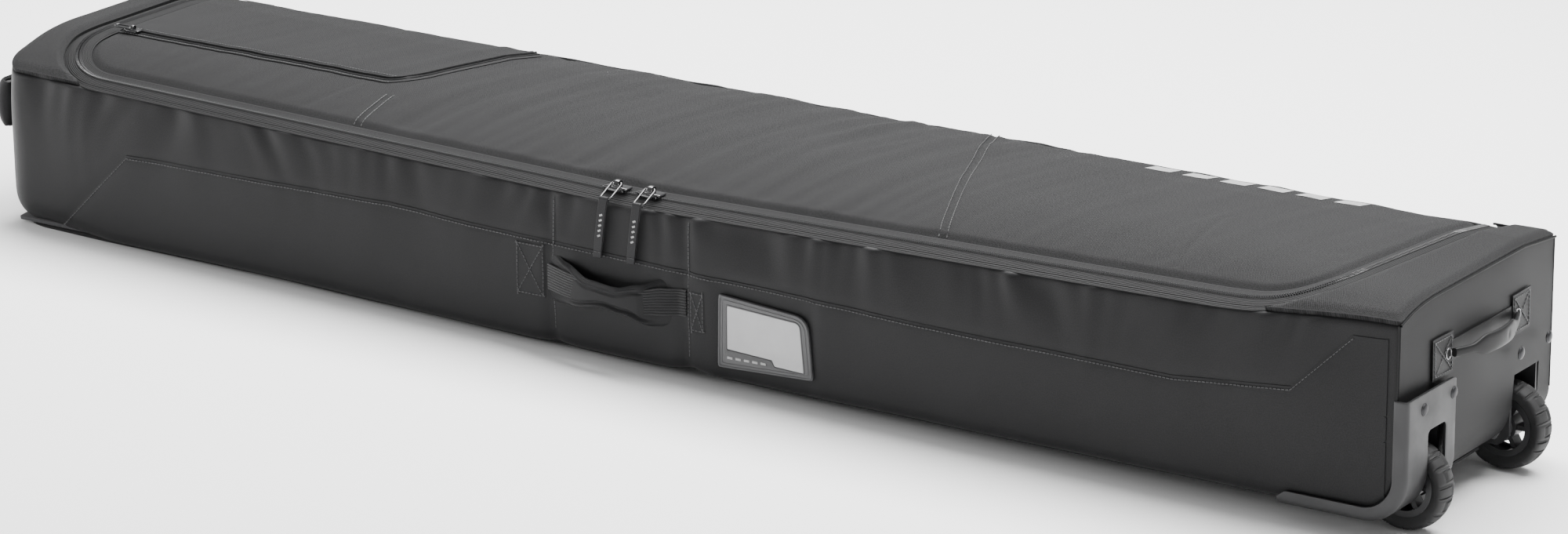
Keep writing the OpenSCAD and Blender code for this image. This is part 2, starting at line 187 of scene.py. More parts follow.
def line_distance(x, z, points):
    """Distance from a point to a chain of straight lines."""
    best = 1.0
    p = Vector((x, z))
    for a, b in zip(points, points[1:]):
        a, b = Vector(a), Vector(b)
        t = clamp((p - a).dot(b - a) / (b - a).length_squared)
        best = min(best, (a + t * (b - a) - p).length)
    return best


def wall_swell(x, z, top, mirrored=False):
    """How far the cloth of a long wall stands out of its flat plane."""
    seed = 7.3 if mirrored else 0.0
    low = base_z(x)
    v = clamp((z - low) / (top - low))
    swell = 0.0035 * math.sin(math.pi * v) + 0.003 * (1 - (x / 0.83) ** 2)
    swell += 0.0016 * wave(x * 6, z * 9, seed) + 0.0009 * wave(x * 15, z * 11, seed + 3)
    under_zip = top - z
    gather = math.exp(-under_zip / 0.030) * (1 - 0.7 * math.exp(-under_zip / 0.004))
    strength = 0.55 + 0.45 * clamp(1 + 1.6 * wave(x * 4, 0, seed + 5))
    swell += 0.0070 * gather * strength * wave(x * 42 + 3 * wave(x * 9, z * 6, seed), z * 7, seed + 9)
    swell += 0.0056 * math.exp(-under_zip / 0.055) * strength * wave(x * 17, z * 5, seed + 12)
    for seam in SIDE_SEAMS:
        swell -= 0.0028 * bump(x - seam - 0.002 * wave(z * 20, seed), 0.006)
        swell += 0.0012 * math.exp(-abs(x - seam) / 0.03) * wave(x * 30, z * 38, seed + 2)
    swell -= 0.0012 * bump(line_distance(x, z, LOWER_SEAM), 0.0035)
    if not mirrored:
        flat = smooth((0.066 - abs(x - 0.137)) / 0.022) * smooth((0.108 - z) / 0.022)
        swell += (0.0012 - swell) * flat
        calm = smooth((0.056 - abs(x + 0.044)) / 0.022) * smooth((z - 0.080) / 0.020)
        swell += (0.25 * swell + 0.0030 - swell) * calm
    return swell * smooth((END_X - x) / 0.10) - 0.002


def wall_point(x, z, side=-1, lift=0.0):
    """A point on the cloth of the front (-1) or back (1) wall."""
    top = top_z(x, side * HALF_W)
    return Vector((x, side * (HALF_W + wall_swell(x, z, top, side > 0) + lift), z))


# ---- Side band ------------------------------------------------------------------------
# One long strip of padded woven polyester runs along the front, round the far end and
# back along the other side. It is sewn to the base below and gathered into the zip above,
# with a seam at each side of the carry handle.


def select_only(piece):
    bpy.ops.object.select_all(action="DESELECT")
    bpy.context.view_layer.objects.active = piece
    piece.select_set(True)


def apply_modifier(piece, kind, **settings):
    modifier = piece.modifiers.new(kind.lower(), kind)
    for key, value in settings.items():
        setattr(modifier, key, value)
    select_only(piece)
    bpy.ops.object.modifier_apply(modifier=modifier.name)


def grid_piece(name, columns, rows, place, width, height):
    """A cloth laid out as a flat grid, whose points are then moved to place(u, v)."""
    bpy.ops.object.select_all(action="DESELECT")
    bpy.ops.mesh.primitive_grid_add(x_subdivisions=columns, y_subdivisions=rows, size=1, calc_uvs=True)
    piece = bpy.context.object
    piece.name = name
    for uv in piece.data.uv_layers.active.data:
        uv.uv = (uv.uv[0] * width, uv.uv[1] * height)
    for vertex in piece.data.vertices:
        vertex.co = place(vertex.co.x + 0.5, vertex.co.y + 0.5)
    piece.data.update()
    return piece


def edit_mesh(piece, work):
    """Open a piece's mesh, do the work on it, and write it back."""
    shape = bmesh.new()
    shape.from_mesh(piece.data)
    work(shape)
    shape.to_mesh(piece.data)
    shape.free()


def cut_faces(piece, test):
    """Delete the faces whose middle passes the test."""
    edit_mesh(piece, lambda shape: bmesh.ops.delete(
        shape, geom=[f for f in shape.faces if test(f.calc_center_median())], context="FACES"))


def finish_cloth(piece, material, slot):
    """Smooth shading up to a fold of 50 degrees, and one material."""
    select_only(piece)
    bpy.ops.object.shade_smooth_by_angle(angle=math.radians(50))
    piece.data.materials.clear()
    piece.data.materials.append(material)


def sew(piece, material, body, slot, *nodes, thick=0.0, levels=0):
    """Give a cloth its thickness, inwards, and its material, and put it on its body."""
    if thick:
        apply_modifier(piece, "SOLIDIFY", thickness=thick, offset=-1)
    if levels:
        apply_modifier(piece, "SUBSURF", levels=levels, render_levels=levels)
    finish_cloth(piece, material, slot)
    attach(piece, body)
    if nodes:
        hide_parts(*nodes)
    return piece


def group_of(name, inputs, outputs):
    """An empty shader node group with named sockets."""
    group = bpy.data.node_groups.new(name, "ShaderNodeTree")
    for label, kind, value in inputs:
        socket = group.interface.new_socket(label, in_out="INPUT", socket_type=kind)
        if value is not None:
            socket.default_value = value
    for label, kind in outputs:
        group.interface.new_socket(label, in_out="OUTPUT", socket_type=kind)
    return group, group.nodes.new("NodeGroupInput"), group.nodes.new("NodeGroupOutput")


def link(tree, source, target):
    tree.links.new(source, target)


def noise_node(tree, scale, detail=2, place=None):
    node = tree.nodes.new("ShaderNodeTexNoise")
    node.inputs["Scale"].default_value = scale
    node.inputs["Detail"].default_value = detail
    if place:
        link(tree, place, node.inputs["Vector"])
    return node.outputs["Fac"]


def ranged(tree, value, low, high, start=0.0, end=1.0):
    """Value carried from start..end to low..high."""
    node = tree.nodes.new("ShaderNodeMapRange")
    for label, number in (("From Min", start), ("From Max", end), ("To Min", low), ("To Max", high)):
        node.inputs[label].default_value = number
    link(tree, value, node.inputs["Value"])
    return node.outputs["Result"]


def mixed(tree, factor, first, second):
    """A mix of two colours, where the first may also be an output."""
    node = tree.nodes.new("ShaderNodeMix")
    node.data_type = "RGBA"
    if isinstance(first, tuple):
        node.inputs["A"].default_value = (*first, 1)
    else:
        link(tree, first, node.inputs["A"])
    node.inputs["B"].default_value = (*second, 1)
    link(tree, factor, node.inputs["Factor"])
    return node.outputs["Result"]


def emboss(tree, height, strength, distance):
    """Raise the surface by a height, on top of the relief it already has."""
    node = tree.nodes.new("ShaderNodeBump")
    node.inputs["Strength"].default_value = strength
    node.inputs["Distance"].default_value = distance
    link(tree, height, node.inputs["Height"])
    normal = tree.nodes["Principled BSDF"].inputs["Normal"]
    if normal.links:
        link(tree, normal.links[0].from_socket, node.inputs["Normal"])
    link(tree, node.outputs["Normal"], normal)


def math_node(tree, operation, first, second=None):
    node = tree.nodes.new("ShaderNodeMath")
    node.operation = operation
    for socket, value in zip(node.inputs, (first, second)):
        if value is None:
            continue
        if isinstance(value, (int, float)):
            socket.default_value = value
        else:
            link(tree, value, socket)
    return node.outputs[0]


# Plain weave: warp and weft cross in a small checker, and each thread is a rounded ridge.
weave, g_in, g_out = group_of(
    "weave",
    [("Vector", "NodeSocketVector", None), ("Threads", "NodeSocketFloat", 1200.0),
     ("Slub", "NodeSocketFloat", 0.4)],
    [("Height", "NodeSocketFloat"), ("Heather", "NodeSocketFloat")])
scaled = weave.nodes.new("ShaderNodeVectorMath")
scaled.operation = "SCALE"
link(weave, g_in.outputs["Vector"], scaled.inputs[0])
link(weave, g_in.outputs["Threads"], scaled.inputs["Scale"])
split = weave.nodes.new("ShaderNodeSeparateXYZ")
link(weave, scaled.outputs[0], split.inputs[0])
warp = math_node(weave, "SINE", math_node(weave, "MULTIPLY", split.outputs[0], math.pi))
weft = math_node(weave, "SINE", math_node(weave, "MULTIPLY", split.outputs[1], math.pi))
crossing = math_node(weave, "GREATER_THAN", math_node(weave, "MULTIPLY", warp, weft), 0.0)
chosen = weave.nodes.new("ShaderNodeMix")
link(weave, crossing, chosen.inputs["Factor"])
link(weave, math_node(weave, "ABSOLUTE", warp), chosen.inputs["A"])
link(weave, math_node(weave, "ABSOLUTE", weft), chosen.inputs["B"])
slub = noise_node(weave, 0.55, 3, scaled.outputs[0])
uneven = math_node(weave, "MULTIPLY", slub, g_in.outputs["Slub"])
link(weave, math_node(weave, "ADD", chosen.outputs["Result"], uneven), g_out.inputs["Height"])
link(weave, slub, g_out.inputs["Heather"])


def lighter(colour, times, plus=0.0):
    return tuple(c * times + plus for c in colour)


def cloth(name, dark, light, roughness, threads, slub, relief, sheen):
    """A woven cloth: two thread colours mixed by the slub, a woven relief, and soft patches of wear."""
    material = plain_material(name, dark, roughness)
    tree = material.node_tree
    shader = tree.nodes["Principled BSDF"]
    shader.inputs["Sheen Weight"].default_value = sheen
    shader.inputs["Sheen Roughness"].default_value = 0.45
    shader.inputs["Specular IOR Level"].default_value = 0.16
    place = tree.nodes.new("ShaderNodeTexCoord")
    woven = tree.nodes.new("ShaderNodeGroup")
    woven.node_tree = weave
    woven.inputs["Threads"].default_value = threads
    woven.inputs["Slub"].default_value = slub
    link(tree, place.outputs["UV"], woven.inputs["Vector"])
    patches = noise_node(tree, 7, 4, place.outputs["Object"])
    grain = ranged(tree, woven.outputs["Heather"], 0.0, 1.0, 0.40, 0.62)
    wear = math_node(tree, "MULTIPLY", math_node(tree, "SUBTRACT", patches, 0.42), 0.8)
    colour = mixed(tree, math_node(tree, "MAXIMUM", wear, 0.0), mixed(tree, grain, dark, light),
                   lighter(light, 1.35, 0.003))
    link(tree, colour, shader.inputs["Base Color"])
    link(tree, ranged(tree, patches, roughness - 0.06, roughness + 0.08), shader.inputs["Roughness"])
    emboss(tree, woven.outputs["Height"], relief, 0.0003)
    return material


side_cloth = cloth("side_polyester", (0.0068, 0.0068, 0.0072), (0.0110, 0.0110, 0.0116), 0.46,
                   1500, 0.25, 0.22, 0.03)

front_len = END_X - FAR_X - CORNER_R
bend_len = CORNER_R * math.pi / 2
end_len = 2 * (HALF_W - CORNER_R)
band_len = 2 * front_len + 2 * bend_len + end_len


def plan_path(s):
    """Point and outward normal on the plan outline, s from the wheel end round the far end."""
    if s > band_len / 2:
        x, y, nx, ny = plan_path(band_len - s)
        return x, -y, nx, -ny
    if s < front_len:
        return END_X - s, -HALF_W, 0.0, -1.0
    if s < front_len + bend_len:
        a = (s - front_len) / CORNER_R
        return (FAR_X + CORNER_R - CORNER_R * math.sin(a), -HALF_W + CORNER_R - CORNER_R * math.cos(a),
                -math.sin(a), -math.cos(a))
    return FAR_X, -HALF_W + CORNER_R + (s - front_len - bend_len), -1.0, 0.0


def band_place(u, v):
    s = band_len * (1 - u)
    x, y, nx, ny = plan_path(s)
    top = top_z(x, y)
    at_far = smooth((FAR_X + 0.16 - x) / 0.12)
    foot = 0.014 + 0.020 * at_far
    low = base_z(x + 0.03 * at_far)
    roll = 0.005
    if v < 0.14:
        a = v / 0.14 * math.pi / 2
        inset, z = foot * (1 - math.sin(a)), low + foot * (1 - math.cos(a))
    elif v < 0.90:
        inset, z = 0.0, low + foot + (top - roll - low - foot) * (v - 0.14) / 0.76
    else:
        a = (v - 0.90) / 0.10 * math.pi / 2
        inset, z = roll * (1 - math.cos(a)), top - roll * (1 - math.sin(a))
    if abs(ny) > 0.99:
        swell = wall_swell(x, z, top, ny > 0)
    else:
        rise = clamp((z - low) / (top - low))
        swell = 0.008 * abs(nx) * math.sin(math.pi * rise) * (1 - (y / HALF_W) ** 2)
        swell += 0.002 * wave(y * 12, z * 12, 4) + wall_swell(x, z, top, y > 0) * (1 - abs(nx))
        swell += 0.002 * math.exp(-(top - z) / 0.03) * wave(y * 40, z * 8, 2)
    out = swell - inset
    return Vector((x + nx * out, y + ny * out, z))


side_band = grid_piece("side_band", 596, 34, band_place, band_len, 0.19)
lower_skin = side_band.copy()
lower_skin.data = side_band.data.copy()
bpy.context.scene.collection.objects.link(lower_skin)
sew(side_band, side_cloth, "tub", "side_fabric", "front_wall", "back_wall", "far_end_wall",
    thick=0.006, levels=1)

# ---- Lower skins ----------------------------------------------------------------------
# A second layer of the same polyester is sewn over the lower part of each long side, where
# the bag rubs on the ground. Its top edge follows the seam and turns up at the wheel end.

SKIN_OUTLINE = LOWER_SEAM + ((0.812, 0.165), (0.812, -0.03), (-0.762, -0.03))


def inside(x, z, outline):
    hits = False
    for (ax, az), (bx, bz) in zip(outline, outline[1:] + outline[:1]):
        if (az > z) != (bz > z) and x < ax + (z - az) / (bz - az) * (bx - ax):
            hits = not hits
    return hits


def slice_mesh(piece, a, b):
    """Cut a mesh along the upright plane through two points given by X and Z."""
    edit_mesh(piece, lambda shape: bmesh.ops.bisect_plane(
        shape, geom=shape.verts[:] + shape.edges[:] + shape.faces[:],
        plane_co=(a[0], 0, a[1]), plane_no=(a[1] - b[1], 0, b[0] - a[0])))


for a, b in zip(LOWER_SEAM, LOWER_SEAM[1:]):
    slice_mesh(lower_skin, a, b)
for vertex in lower_skin.data.vertices:
    vertex.co.y += math.copysign(0.0008, vertex.co.y)
for side, label in ((-1, "front"), (1, "back")):
    skin = lower_skin.copy()
    skin.data = lower_skin.data.copy()
    skin.name = label + "_lower_skin"
    bpy.context.scene.collection.objects.link(skin)
    cut_faces(skin, lambda p: p.y * side < 0.13 or not inside(p.x, p.z, SKIN_OUTLINE))
    sew(skin, side_cloth, "tub", "side_fabric", label + "_reinforcement", thick=0.0007)
bpy.data.objects.remove(lower_skin)

# Lockstitch in black thread, one small bead for each stitch, run along a seam.

thread = plain_material("sewing_thread", (0.03, 0.03, 0.032), 0.5)
thread_tree = thread.node_tree
thread_tree.nodes["Principled BSDF"].inputs["Sheen Weight"].default_value = 0.3
thread_place = thread_tree.nodes.new("ShaderNodeTexCoord")
thread_turns = thread_tree.nodes.new("ShaderNodeTexWave")
thread_turns.inputs["Scale"].default_value = 900
link(thread_tree, thread_place.outputs["Object"], thread_turns.inputs["Vector"])
emboss(thread_tree, thread_turns.outputs["Fac"], 1.0, 0.0002)


def poly_curve(name, points):
    """An object with one straight-sided curve through points."""
    curve = bpy.data.curves.new(name, "CURVE")
    curve.dimensions = "3D"
    spline = curve.splines.new("POLY")
    spline.points.add(len(points) - 1)
    for control, point in zip(spline.points, points):
        control.co = (*point, 1)
    path = bpy.data.objects.new(name, curve)
    bpy.context.scene.collection.objects.link(path)
    return path


def run_along(unit, points, pitch):
    """Repeat a small piece along a chain of points."""
    path = poly_curve("run", points)
    path.data.twist_mode = "Z_UP"
    bpy.context.view_layer.update()
    apply_modifier(unit, "ARRAY", fit_type="FIT_CURVE", curve=path, use_relative_offset=False,
                   use_constant_offset=True, constant_offset_displace=(pitch, 0, 0))
    apply_modifier(unit, "CURVE", object=path, deform_axis="POS_X")
    bpy.data.objects.remove(path)
    return unit


def fixed_in_mesh(piece):
    """Put a new primitive's place, turn and size into its mesh."""
    select_only(piece)
    bpy.ops.object.transform_apply(location=True, rotation=True, scale=True)
    return piece


def block(place, size, turn=(0, 0, 0)):
    bpy.ops.mesh.primitive_cube_add(size=1, location=place, rotation=turn)
    bpy.context.object.scale = size
    return fixed_in_mesh(bpy.context.object)


def rod(radius, depth, place, turn, sides, **settings):
    bpy.ops.mesh.primitive_cylinder_add(vertices=sides, radius=radius, depth=depth, location=place,
                                        rotation=turn, **settings)
    return fixed_in_mesh(bpy.context.object)


def hoop(major, minor, place, around, sides):
    """A torus that faces the wheel end."""
    bpy.ops.mesh.primitive_torus_add(major_radius=major, minor_radius=minor, major_segments=around,
                                     minor_segments=sides, location=place, rotation=(0, math.pi / 2, 0))
    return fixed_in_mesh(bpy.context.object)


def joined(name, pieces):
    bpy.ops.object.select_all(action="DESELECT")
    for piece in pieces:
        piece.select_set(True)
    bpy.context.view_layer.objects.active = pieces[0]
    if len(pieces) > 1:
        bpy.ops.object.join()
    pieces[0].name = name
    return pieces[0]


def stitches(name, chains, body, pitch=0.0042, thick=0.0005):
    """Rows of stitches along several chains of points, as one piece."""
    rows = [run_along(rod(thick, pitch * 0.68, (pitch / 2, 0, 0), (0, math.pi / 2, 0), 6), points, pitch)
            for points in chains]
    return sew(joined(name, rows), thread, body, "webbing")


def along(a, b, count):
    return [Vector(a).lerp(Vector(b), i / count) for i in range(count + 1)]


def wall_chain(corners, side, lift=0.0012, step=0.012):
    """Points on a long wall's cloth, along straight lines between corners given by X and Z."""
    chain = []
    for a, b in zip(corners, corners[1:]):
        count = max(2, int((Vector(a) - Vector(b)).length / step))
        chain += [wall_point(a[0] + (b[0] - a[0]) * i / count, a[1] + (b[1] - a[1]) * i / count, side, lift)
                  for i in range(count)]
    return chain + [wall_point(*corners[-1], side, lift)]


for side, label in ((-1, "front"), (1, "back")):
    below = [(x, z - 0.0035) for x, z in LOWER_SEAM]
    stitches(label + "_skin_stitches", [wall_chain(below, side)], "tub")
stitches("side_seam_stitches",
         [wall_chain([(x + 0.0035, 0.012), (x + 0.0035, 0.150)], -1) for x in SIDE_SEAMS], "tub")

# ---- Base -----------------------------------------------------------------------------
# The underside is one sheet of coated polyester over a stiff board, cut out around the
# two wheel housings and sewn to the band all round.

base_cloth = cloth("coated_base", (0.012, 0.012, 0.013), (0.02, 0.02, 0.021), 0.5, 1100, 0.2, 0.3, 0.1)


def over_wheel(p, reach=0.027):
    return p.x > 0.750 and abs(abs(p.y) - 0.100) < reach and p.z < 0.072


def base_place(u, v):
    x = FAR_X + 0.026 + (END_X - TOE_R + 0.006 - FAR_X - 0.026) * u
    y = (2 * v - 1) * (HALF_W - 0.013)
    ends = clamp((x - FAR_X) / 0.05)
    y *= 1 - 0.16 * (1 - ends) ** 2
    z = base_z(x) + 0.0008 * wave(x * 9, y * 20, 5) + 0.0004
    return Vector((x, -y, z))


base = grid_piece("base_sheet", 272, 50, base_place, 1.62, 0.29)
cut_faces(base, over_wheel)
sew(base, base_cloth, "tub", "base_fabric", "base_panel", thick=-0.0025)

# ---- Lining ---------------------------------------------------------------------------
# Inside, the board is covered by smooth lining cloth, quilted to the foam in long channels.

lining = cloth("lining", (0.05, 0.05, 0.053), (0.065, 0.065, 0.068), 0.6, 1300, 0.2, 0.25, 0.2)


def floor_place(u, v):
    x = FAR_X + 0.012 + (0.745 - FAR_X - 0.012) * u
    y = (2 * v - 1) * (HALF_W - 0.013)
    puff = 0.0018 * abs(math.sin(math.pi * 5 * v)) ** 0.5
    return Vector((x, y, 0.0066 + puff + 0.0004 * wave(x * 12, y * 12)))


sew(grid_piece("floor_lining", 200, 60, floor_place, 1.57, 0.286), lining, "tub", "foam", "base_board",
    thick=0.004)

# ---- Main zip -------------------------------------------------------------------------
# A coil zip runs up both slanted ends and along the front. Each half of its ribbed tape is
# sewn under the edge of the cloth next to it, so that a dark crease runs on both sides.

LEANS = {1: (END_X - 0.096, 0.12), -1: (-FAR_X - 0.056, 0.0)}
ZIP_R = 0.076
ZIP_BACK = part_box("zip_tape_tub")[1].y
TAPE_IN, TAPE_OUT = 0.0135, 0.0175


def zip_corner(sign, d=0.0):
    """Centre and radius of the zip's corner, for the outline grown by d."""
    x0, k = LEANS[sign]
    n = math.hypot(1, k)
    radius = ZIP_R + d
    y = -ZIP_Y - d + radius
    return x0 + k * (y + ZIP_Y) + (d - radius) * n, y, radius, k, n


def zip_edge(y, d, sign):
    """X of the zip outline, grown by d, at y; sign is 1 at the wheel end."""
    cx, cy, radius, k, n = zip_corner(sign, d)
    if y < cy - radius * k / n:
        return sign * (cx + math.sqrt(max(0.0, radius ** 2 - (cy - y) ** 2)))
    return sign * (cx + radius * n + k * (y - cy))


def zip_route(step=0.006):
    """Points and outward normals along the zip, from the back at the far end to the back at the wheels."""
    halves = {}
    for sign in (-1, 1):
        cx, cy, radius, k, n = zip_corner(sign)
        tangent = cy - radius * k / n
        count = int((ZIP_BACK - tangent) / step)
        side = [(sign * (cx + radius * n + k * (y - cy)), y, sign / n, -k / n)
                for y in (ZIP_BACK + (tangent - ZIP_BACK) * i / count for i in range(count))]
        start = math.atan2(k, 1)
        turns = 14
        for i in range(turns + 1):
            a = start + (math.pi / 2 - start) * i / turns
            side.append((sign * (cx + radius * math.cos(a)), cy - radius * math.sin(a),
                         sign * math.cos(a), -math.sin(a)))
        halves[sign] = side
    a, b = halves[-1][-1][0], halves[1][-1][0]
    count = int((b - a) / step)
    front = [(a + (b - a) * i / count, -ZIP_Y, 0.0, -1.0) for i in range(1, count)]
    return halves[-1] + front + halves[1][::-1]


route = zip_route()


def on_route(u, d, lift):
    i = min(int(u * (len(route) - 1)), len(route) - 2)
    t = u * (len(route) - 1) - i
    x, y, nx, ny = (p + (q - p) * t for p, q in zip(route[i], route[i + 1]))
    x, y = x + nx * d, y + ny * d
    return Vector((x, y, top_z(x, y) + lift))


def tape_lift(d):
    return 0.0006 + 0.0014 * bump(d, 0.006) - 0.0022 * smooth((abs(d) - 0.010) / 0.005)


route_len = sum(math.dist(p[:2], q[:2]) for p, q in zip(route, route[1:]))


def ribbed(name, dark, light, roughness, sheen, ribs, depth):
    """Woven tape or webbing with fine ribs along its length."""
    material = cloth(name, dark, light, roughness, 1700, 0.3, 0.3, sheen)
    tree = material.node_tree
    place = tree.nodes.new("ShaderNodeTexCoord")
    parts = tree.nodes.new("ShaderNodeSeparateXYZ")
    link(tree, place.outputs["UV"], parts.inputs[0])
    waves = math_node(tree, "SINE", math_node(tree, "MULTIPLY", parts.outputs[1], ribs))
    emboss(tree, math_node(tree, "ABSOLUTE", waves), 0.8, depth)
    return material


tape_cloth = ribbed("zip_tape_weave", (0.0055, 0.0055, 0.0058), (0.0100, 0.0100, 0.0105), 0.62,
                    0.02, 1900, 0.0006)
for label, body, low, high in (("tub", "tub", 0.0006, TAPE_OUT), ("lid", "lid", -TAPE_IN, -0.0006)):
    def tape_place(u, v):
        across = low + (high - low) * (1 - v)
        return on_route(1 - u, across, tape_lift(across))

    tape = grid_piece("zip_tape_" + label + "_cloth", len(route) - 1, 8, tape_place, route_len, high - low)
    sew(tape, tape_cloth, body, "zip_tape", "zip_tape_" + label, thick=0.0008)

coil = plain_material("zip_coil", (0.012, 0.012, 0.013), 0.36)
coil_rough = ranged(coil.node_tree, noise_node(coil.node_tree, 300), 0.3, 0.5)
link(coil.node_tree, coil_rough, coil.node_tree.nodes["Principled BSDF"].inputs["Roughness"])

TOOTH_PITCH = 0.0024
centre_line = [on_route(i / (len(route) - 1), 0, 0.0024) for i in range(len(route))]
for label, body, sign, offset in (("tub", "tub", 1, 0.0), ("lid", "lid", -1, TOOTH_PITCH / 2)):
    tooth = rod(0.00075, 0.0031, (TOOTH_PITCH / 2 + offset / 2, -sign * 0.0019, 0), (math.pi / 2, 0, 0), 7)
    tooth.scale = (1, 1, 1.15)
    teeth = run_along(fixed_in_mesh(tooth), centre_line, TOOTH_PITCH)
    teeth.name = "zip_teeth_" + label + "_coil"
    sew(teeth, coil, body, "zip_teeth", "zip_teeth_" + label)

# ---- Lid ------------------------------------------------------------------------------
# The lid is heathered charcoal polyester over thin foam. It is cut in panels that meet in
# slanting seams, puffs up behind the zip, and lies in soft folds that run across the bag.

top_cloth = cloth("charcoal_heather", (0.0040, 0.0040, 0.0043), (0.0165, 0.0165, 0.0172), 0.72,
                  1100, 0.6, 0.7, 0.03)

LID_SEAMS = (((-0.386, -0.160), (-0.389, -0.066), 0.0011), ((0.331, -0.160), (0.209, 0.150), 0.0014),
             ((0.566, -0.112), (0.548, 0.012), 0.0006))


def zip_gap(x, y):
    """How far a point of the top lies outside the zip's line; negative on the lid."""
    gap = -ZIP_Y - y
    for sign in (-1, 1):
        cx, cy, radius, k, n = zip_corner(sign)
        px = sign * x
        if px > cx and y - cy < -k * (px - cx):
            return math.hypot(px - cx, y - cy) - radius
        gap = max(gap, (px - LEANS[sign][0] - k * (y + ZIP_Y)) / n)
    return gap


def lid_point(x, y, lift=0.0):
    inner = -zip_gap(x, y) - TAPE_IN
    puff = -0.0022 + 0.0046 * smooth(inner / 0.009)
    puff -= 0.0030 * smooth((y - LID_BACK + 0.012) / 0.012)
    slant = x - 0.30 * y
    folds = 0.0022 * wave(slant * 26, y * 3.5, 1) + 0.0011 * wave(slant * 58, y * 6, 4)
    folds += 0.0012 * wave(x * 7, y * 9, 8)
    ridge = wave(slant * 17, y * 2.2, 21)
    folds += 0.0026 * bump(ridge, 0.10) * wave(x * 5, y * 5, 30)
    calm = 0.35 + 0.65 * smooth((0.42 - x) / 0.2) * smooth((x + 0.50) / 0.15)
    gather = 0.0010 * math.exp(-max(inner, 0) / 0.02) * wave(x * 55, y * 55, 12)
    puff += (folds * calm + gather) * smooth(inner / 0.02)
    for (ax, ay), (bx, by), depth in LID_SEAMS:
        if min(ay, by) < y < max(ay, by):
            side = x - ax - (bx - ax) * (y - ay) / (by - ay)
            puff += depth * (0.5 * bump(side - 0.006, 0.006) + 0.5 * bump(side + 0.006, 0.006))
            puff -= depth * 1.5 * bump(side, 0.0028)
    return Vector((x, y, top_z(x, y) + puff + lift))


def lid_span(v, d=-TAPE_IN + 0.001, back=LID_BACK):
    """Y of row v of a sheet with the zip's outline, and its ends in X."""
    front = -ZIP_Y - d + 0.00002
    y = front + (back - front) * v ** 1.4
    return y, zip_edge(y, d, -1), zip_edge(y, d, 1)


def lid_place(u, v):
    y, low, high = lid_span(v)
    return lid_point(low + (high - low) * u, y)


lid = grid_piece("lid_cloth", 430, 74, lid_place, 1.51, 0.272)
sew(lid, top_cloth, "lid", "top_fabric", "lid_panel", thick=0.006)


def lining_place(u, v):
    y, low, high = lid_span(v, -0.020, LID_BACK - 0.008)
    x = low + (high - low) * u
    edge = min(u, 1 - u) * (high - low)
    puff = 0.004 * abs(math.sin(math.pi * (y + 0.118) / 0.050)) ** 0.5
    return Vector((x, y, top_z(x, y) - 0.0095 - puff * smooth(edge / 0.02)))


inner_lid = grid_piece("lid_lining", 200, 54, lining_place, 1.49, 0.256)
sew(inner_lid, lining, "lid", "foam", "lid_foam", thick=-0.0025)

for number, ((ax, ay), (bx, by), _) in enumerate(LID_SEAMS[:2]):
    rows = []
    for offset in (-0.0045, 0.0045):
        points = along((ax + offset, max(ay, -0.122), 0), (bx + offset, min(by, 0.140), 0), 22)
        rows.append([lid_point(ax + (bx - ax) * (p.y - ay) / (by - ay) + offset, p.y, 0.0004) for p in points])
    stitches("lid_seam_%d_stitches" % number, rows, "lid")

# ---- Caps and end panel ---------------------------------------------------------------
# Past each end of the zip the same charcoal cloth carries on as a narrow cap. The wheel
# end is a smooth panel of coated polyester, bound to its neighbours with corded piping.


def cap_lift(x, y, edge):
    """Padding of a cap, from its distance to the nearest seam."""
    folds = 0.0010 * wave(x * 22, y * 16, 3) + 0.0012 * wave(x * 9, y * 7, 6)
    return -0.0022 + (0.0040 + folds) * smooth(edge / 0.010)


def wheel_cap_place(u, v):
    front, back = -HALF_W + 0.0045, LID_BACK + 0.004
    y = front + (back - front) * (1 - v) ** 1.3
    low, high = zip_edge(y, TAPE_OUT - 0.0012, 1), END_X - 0.0004
    x = low + (high - low) * u
    edge = min(x - low + 0.001, high - x, y - front, back - y + 0.004)
    return Vector((x, y, top_z(x, y) + cap_lift(x, y, edge)))


def plan_end(y):
    past = max(0.0, abs(y) - HALF_W + CORNER_R)
    return FAR_X + CORNER_R - math.sqrt(CORNER_R ** 2 - past ** 2)


def far_cap_place(u, v):
    front, back = -HALF_W + 0.0045, LID_BACK + 0.004
    y = front + (back - front) * (1 - v) ** 1.3
    low, high = plan_end(y) + 0.0035, zip_edge(y, TAPE_OUT - 0.0012, -1)
    x = high + (low - high) * u
    edge = min(x - low, high - x + 0.001, y - front, back - y + 0.004)
    return Vector((x, y, top_z(x, y) + cap_lift(x, y, edge)))


sew(grid_piece("wheel_end_cap_cloth", 60, 110, wheel_cap_place, 0.10, 0.30), top_cloth, "tub", "top_fabric",
    "wheel_end_cap", thick=0.005)
sew(grid_piece("far_end_cap_cloth", 60, 110, far_cap_place, 0.06, 0.30), top_cloth, "tub", "top_fabric",
    "far_end_cap", thick=-0.005)

panel_cloth = cloth("coated_panel", (0.0065, 0.0065, 0.0068), (0.0085, 0.0085, 0.0089), 0.55,
                    1400, 0.15, 0.12, 0.04)


def panel_point(y, z, lift=0.0):
    """A point on the wheel end panel."""
    top = top_z(END_X, y)
    belly = math.sin(math.pi * clamp((z - TOE_R) / (top - TOE_R))) ** 0.8
    x = END_X + 0.0045 * (1 - (y / HALF_W) ** 2) * belly
    if z < TOE_R:
        x = END_X - TOE_R + math.sqrt(max(0.0, TOE_R ** 2 - (TOE_R - z) ** 2))
    x += 0.0007 * wave(y * 14, z * 14, 9) * smooth((top - z) / 0.02)
    return Vector((x + lift, y, z))


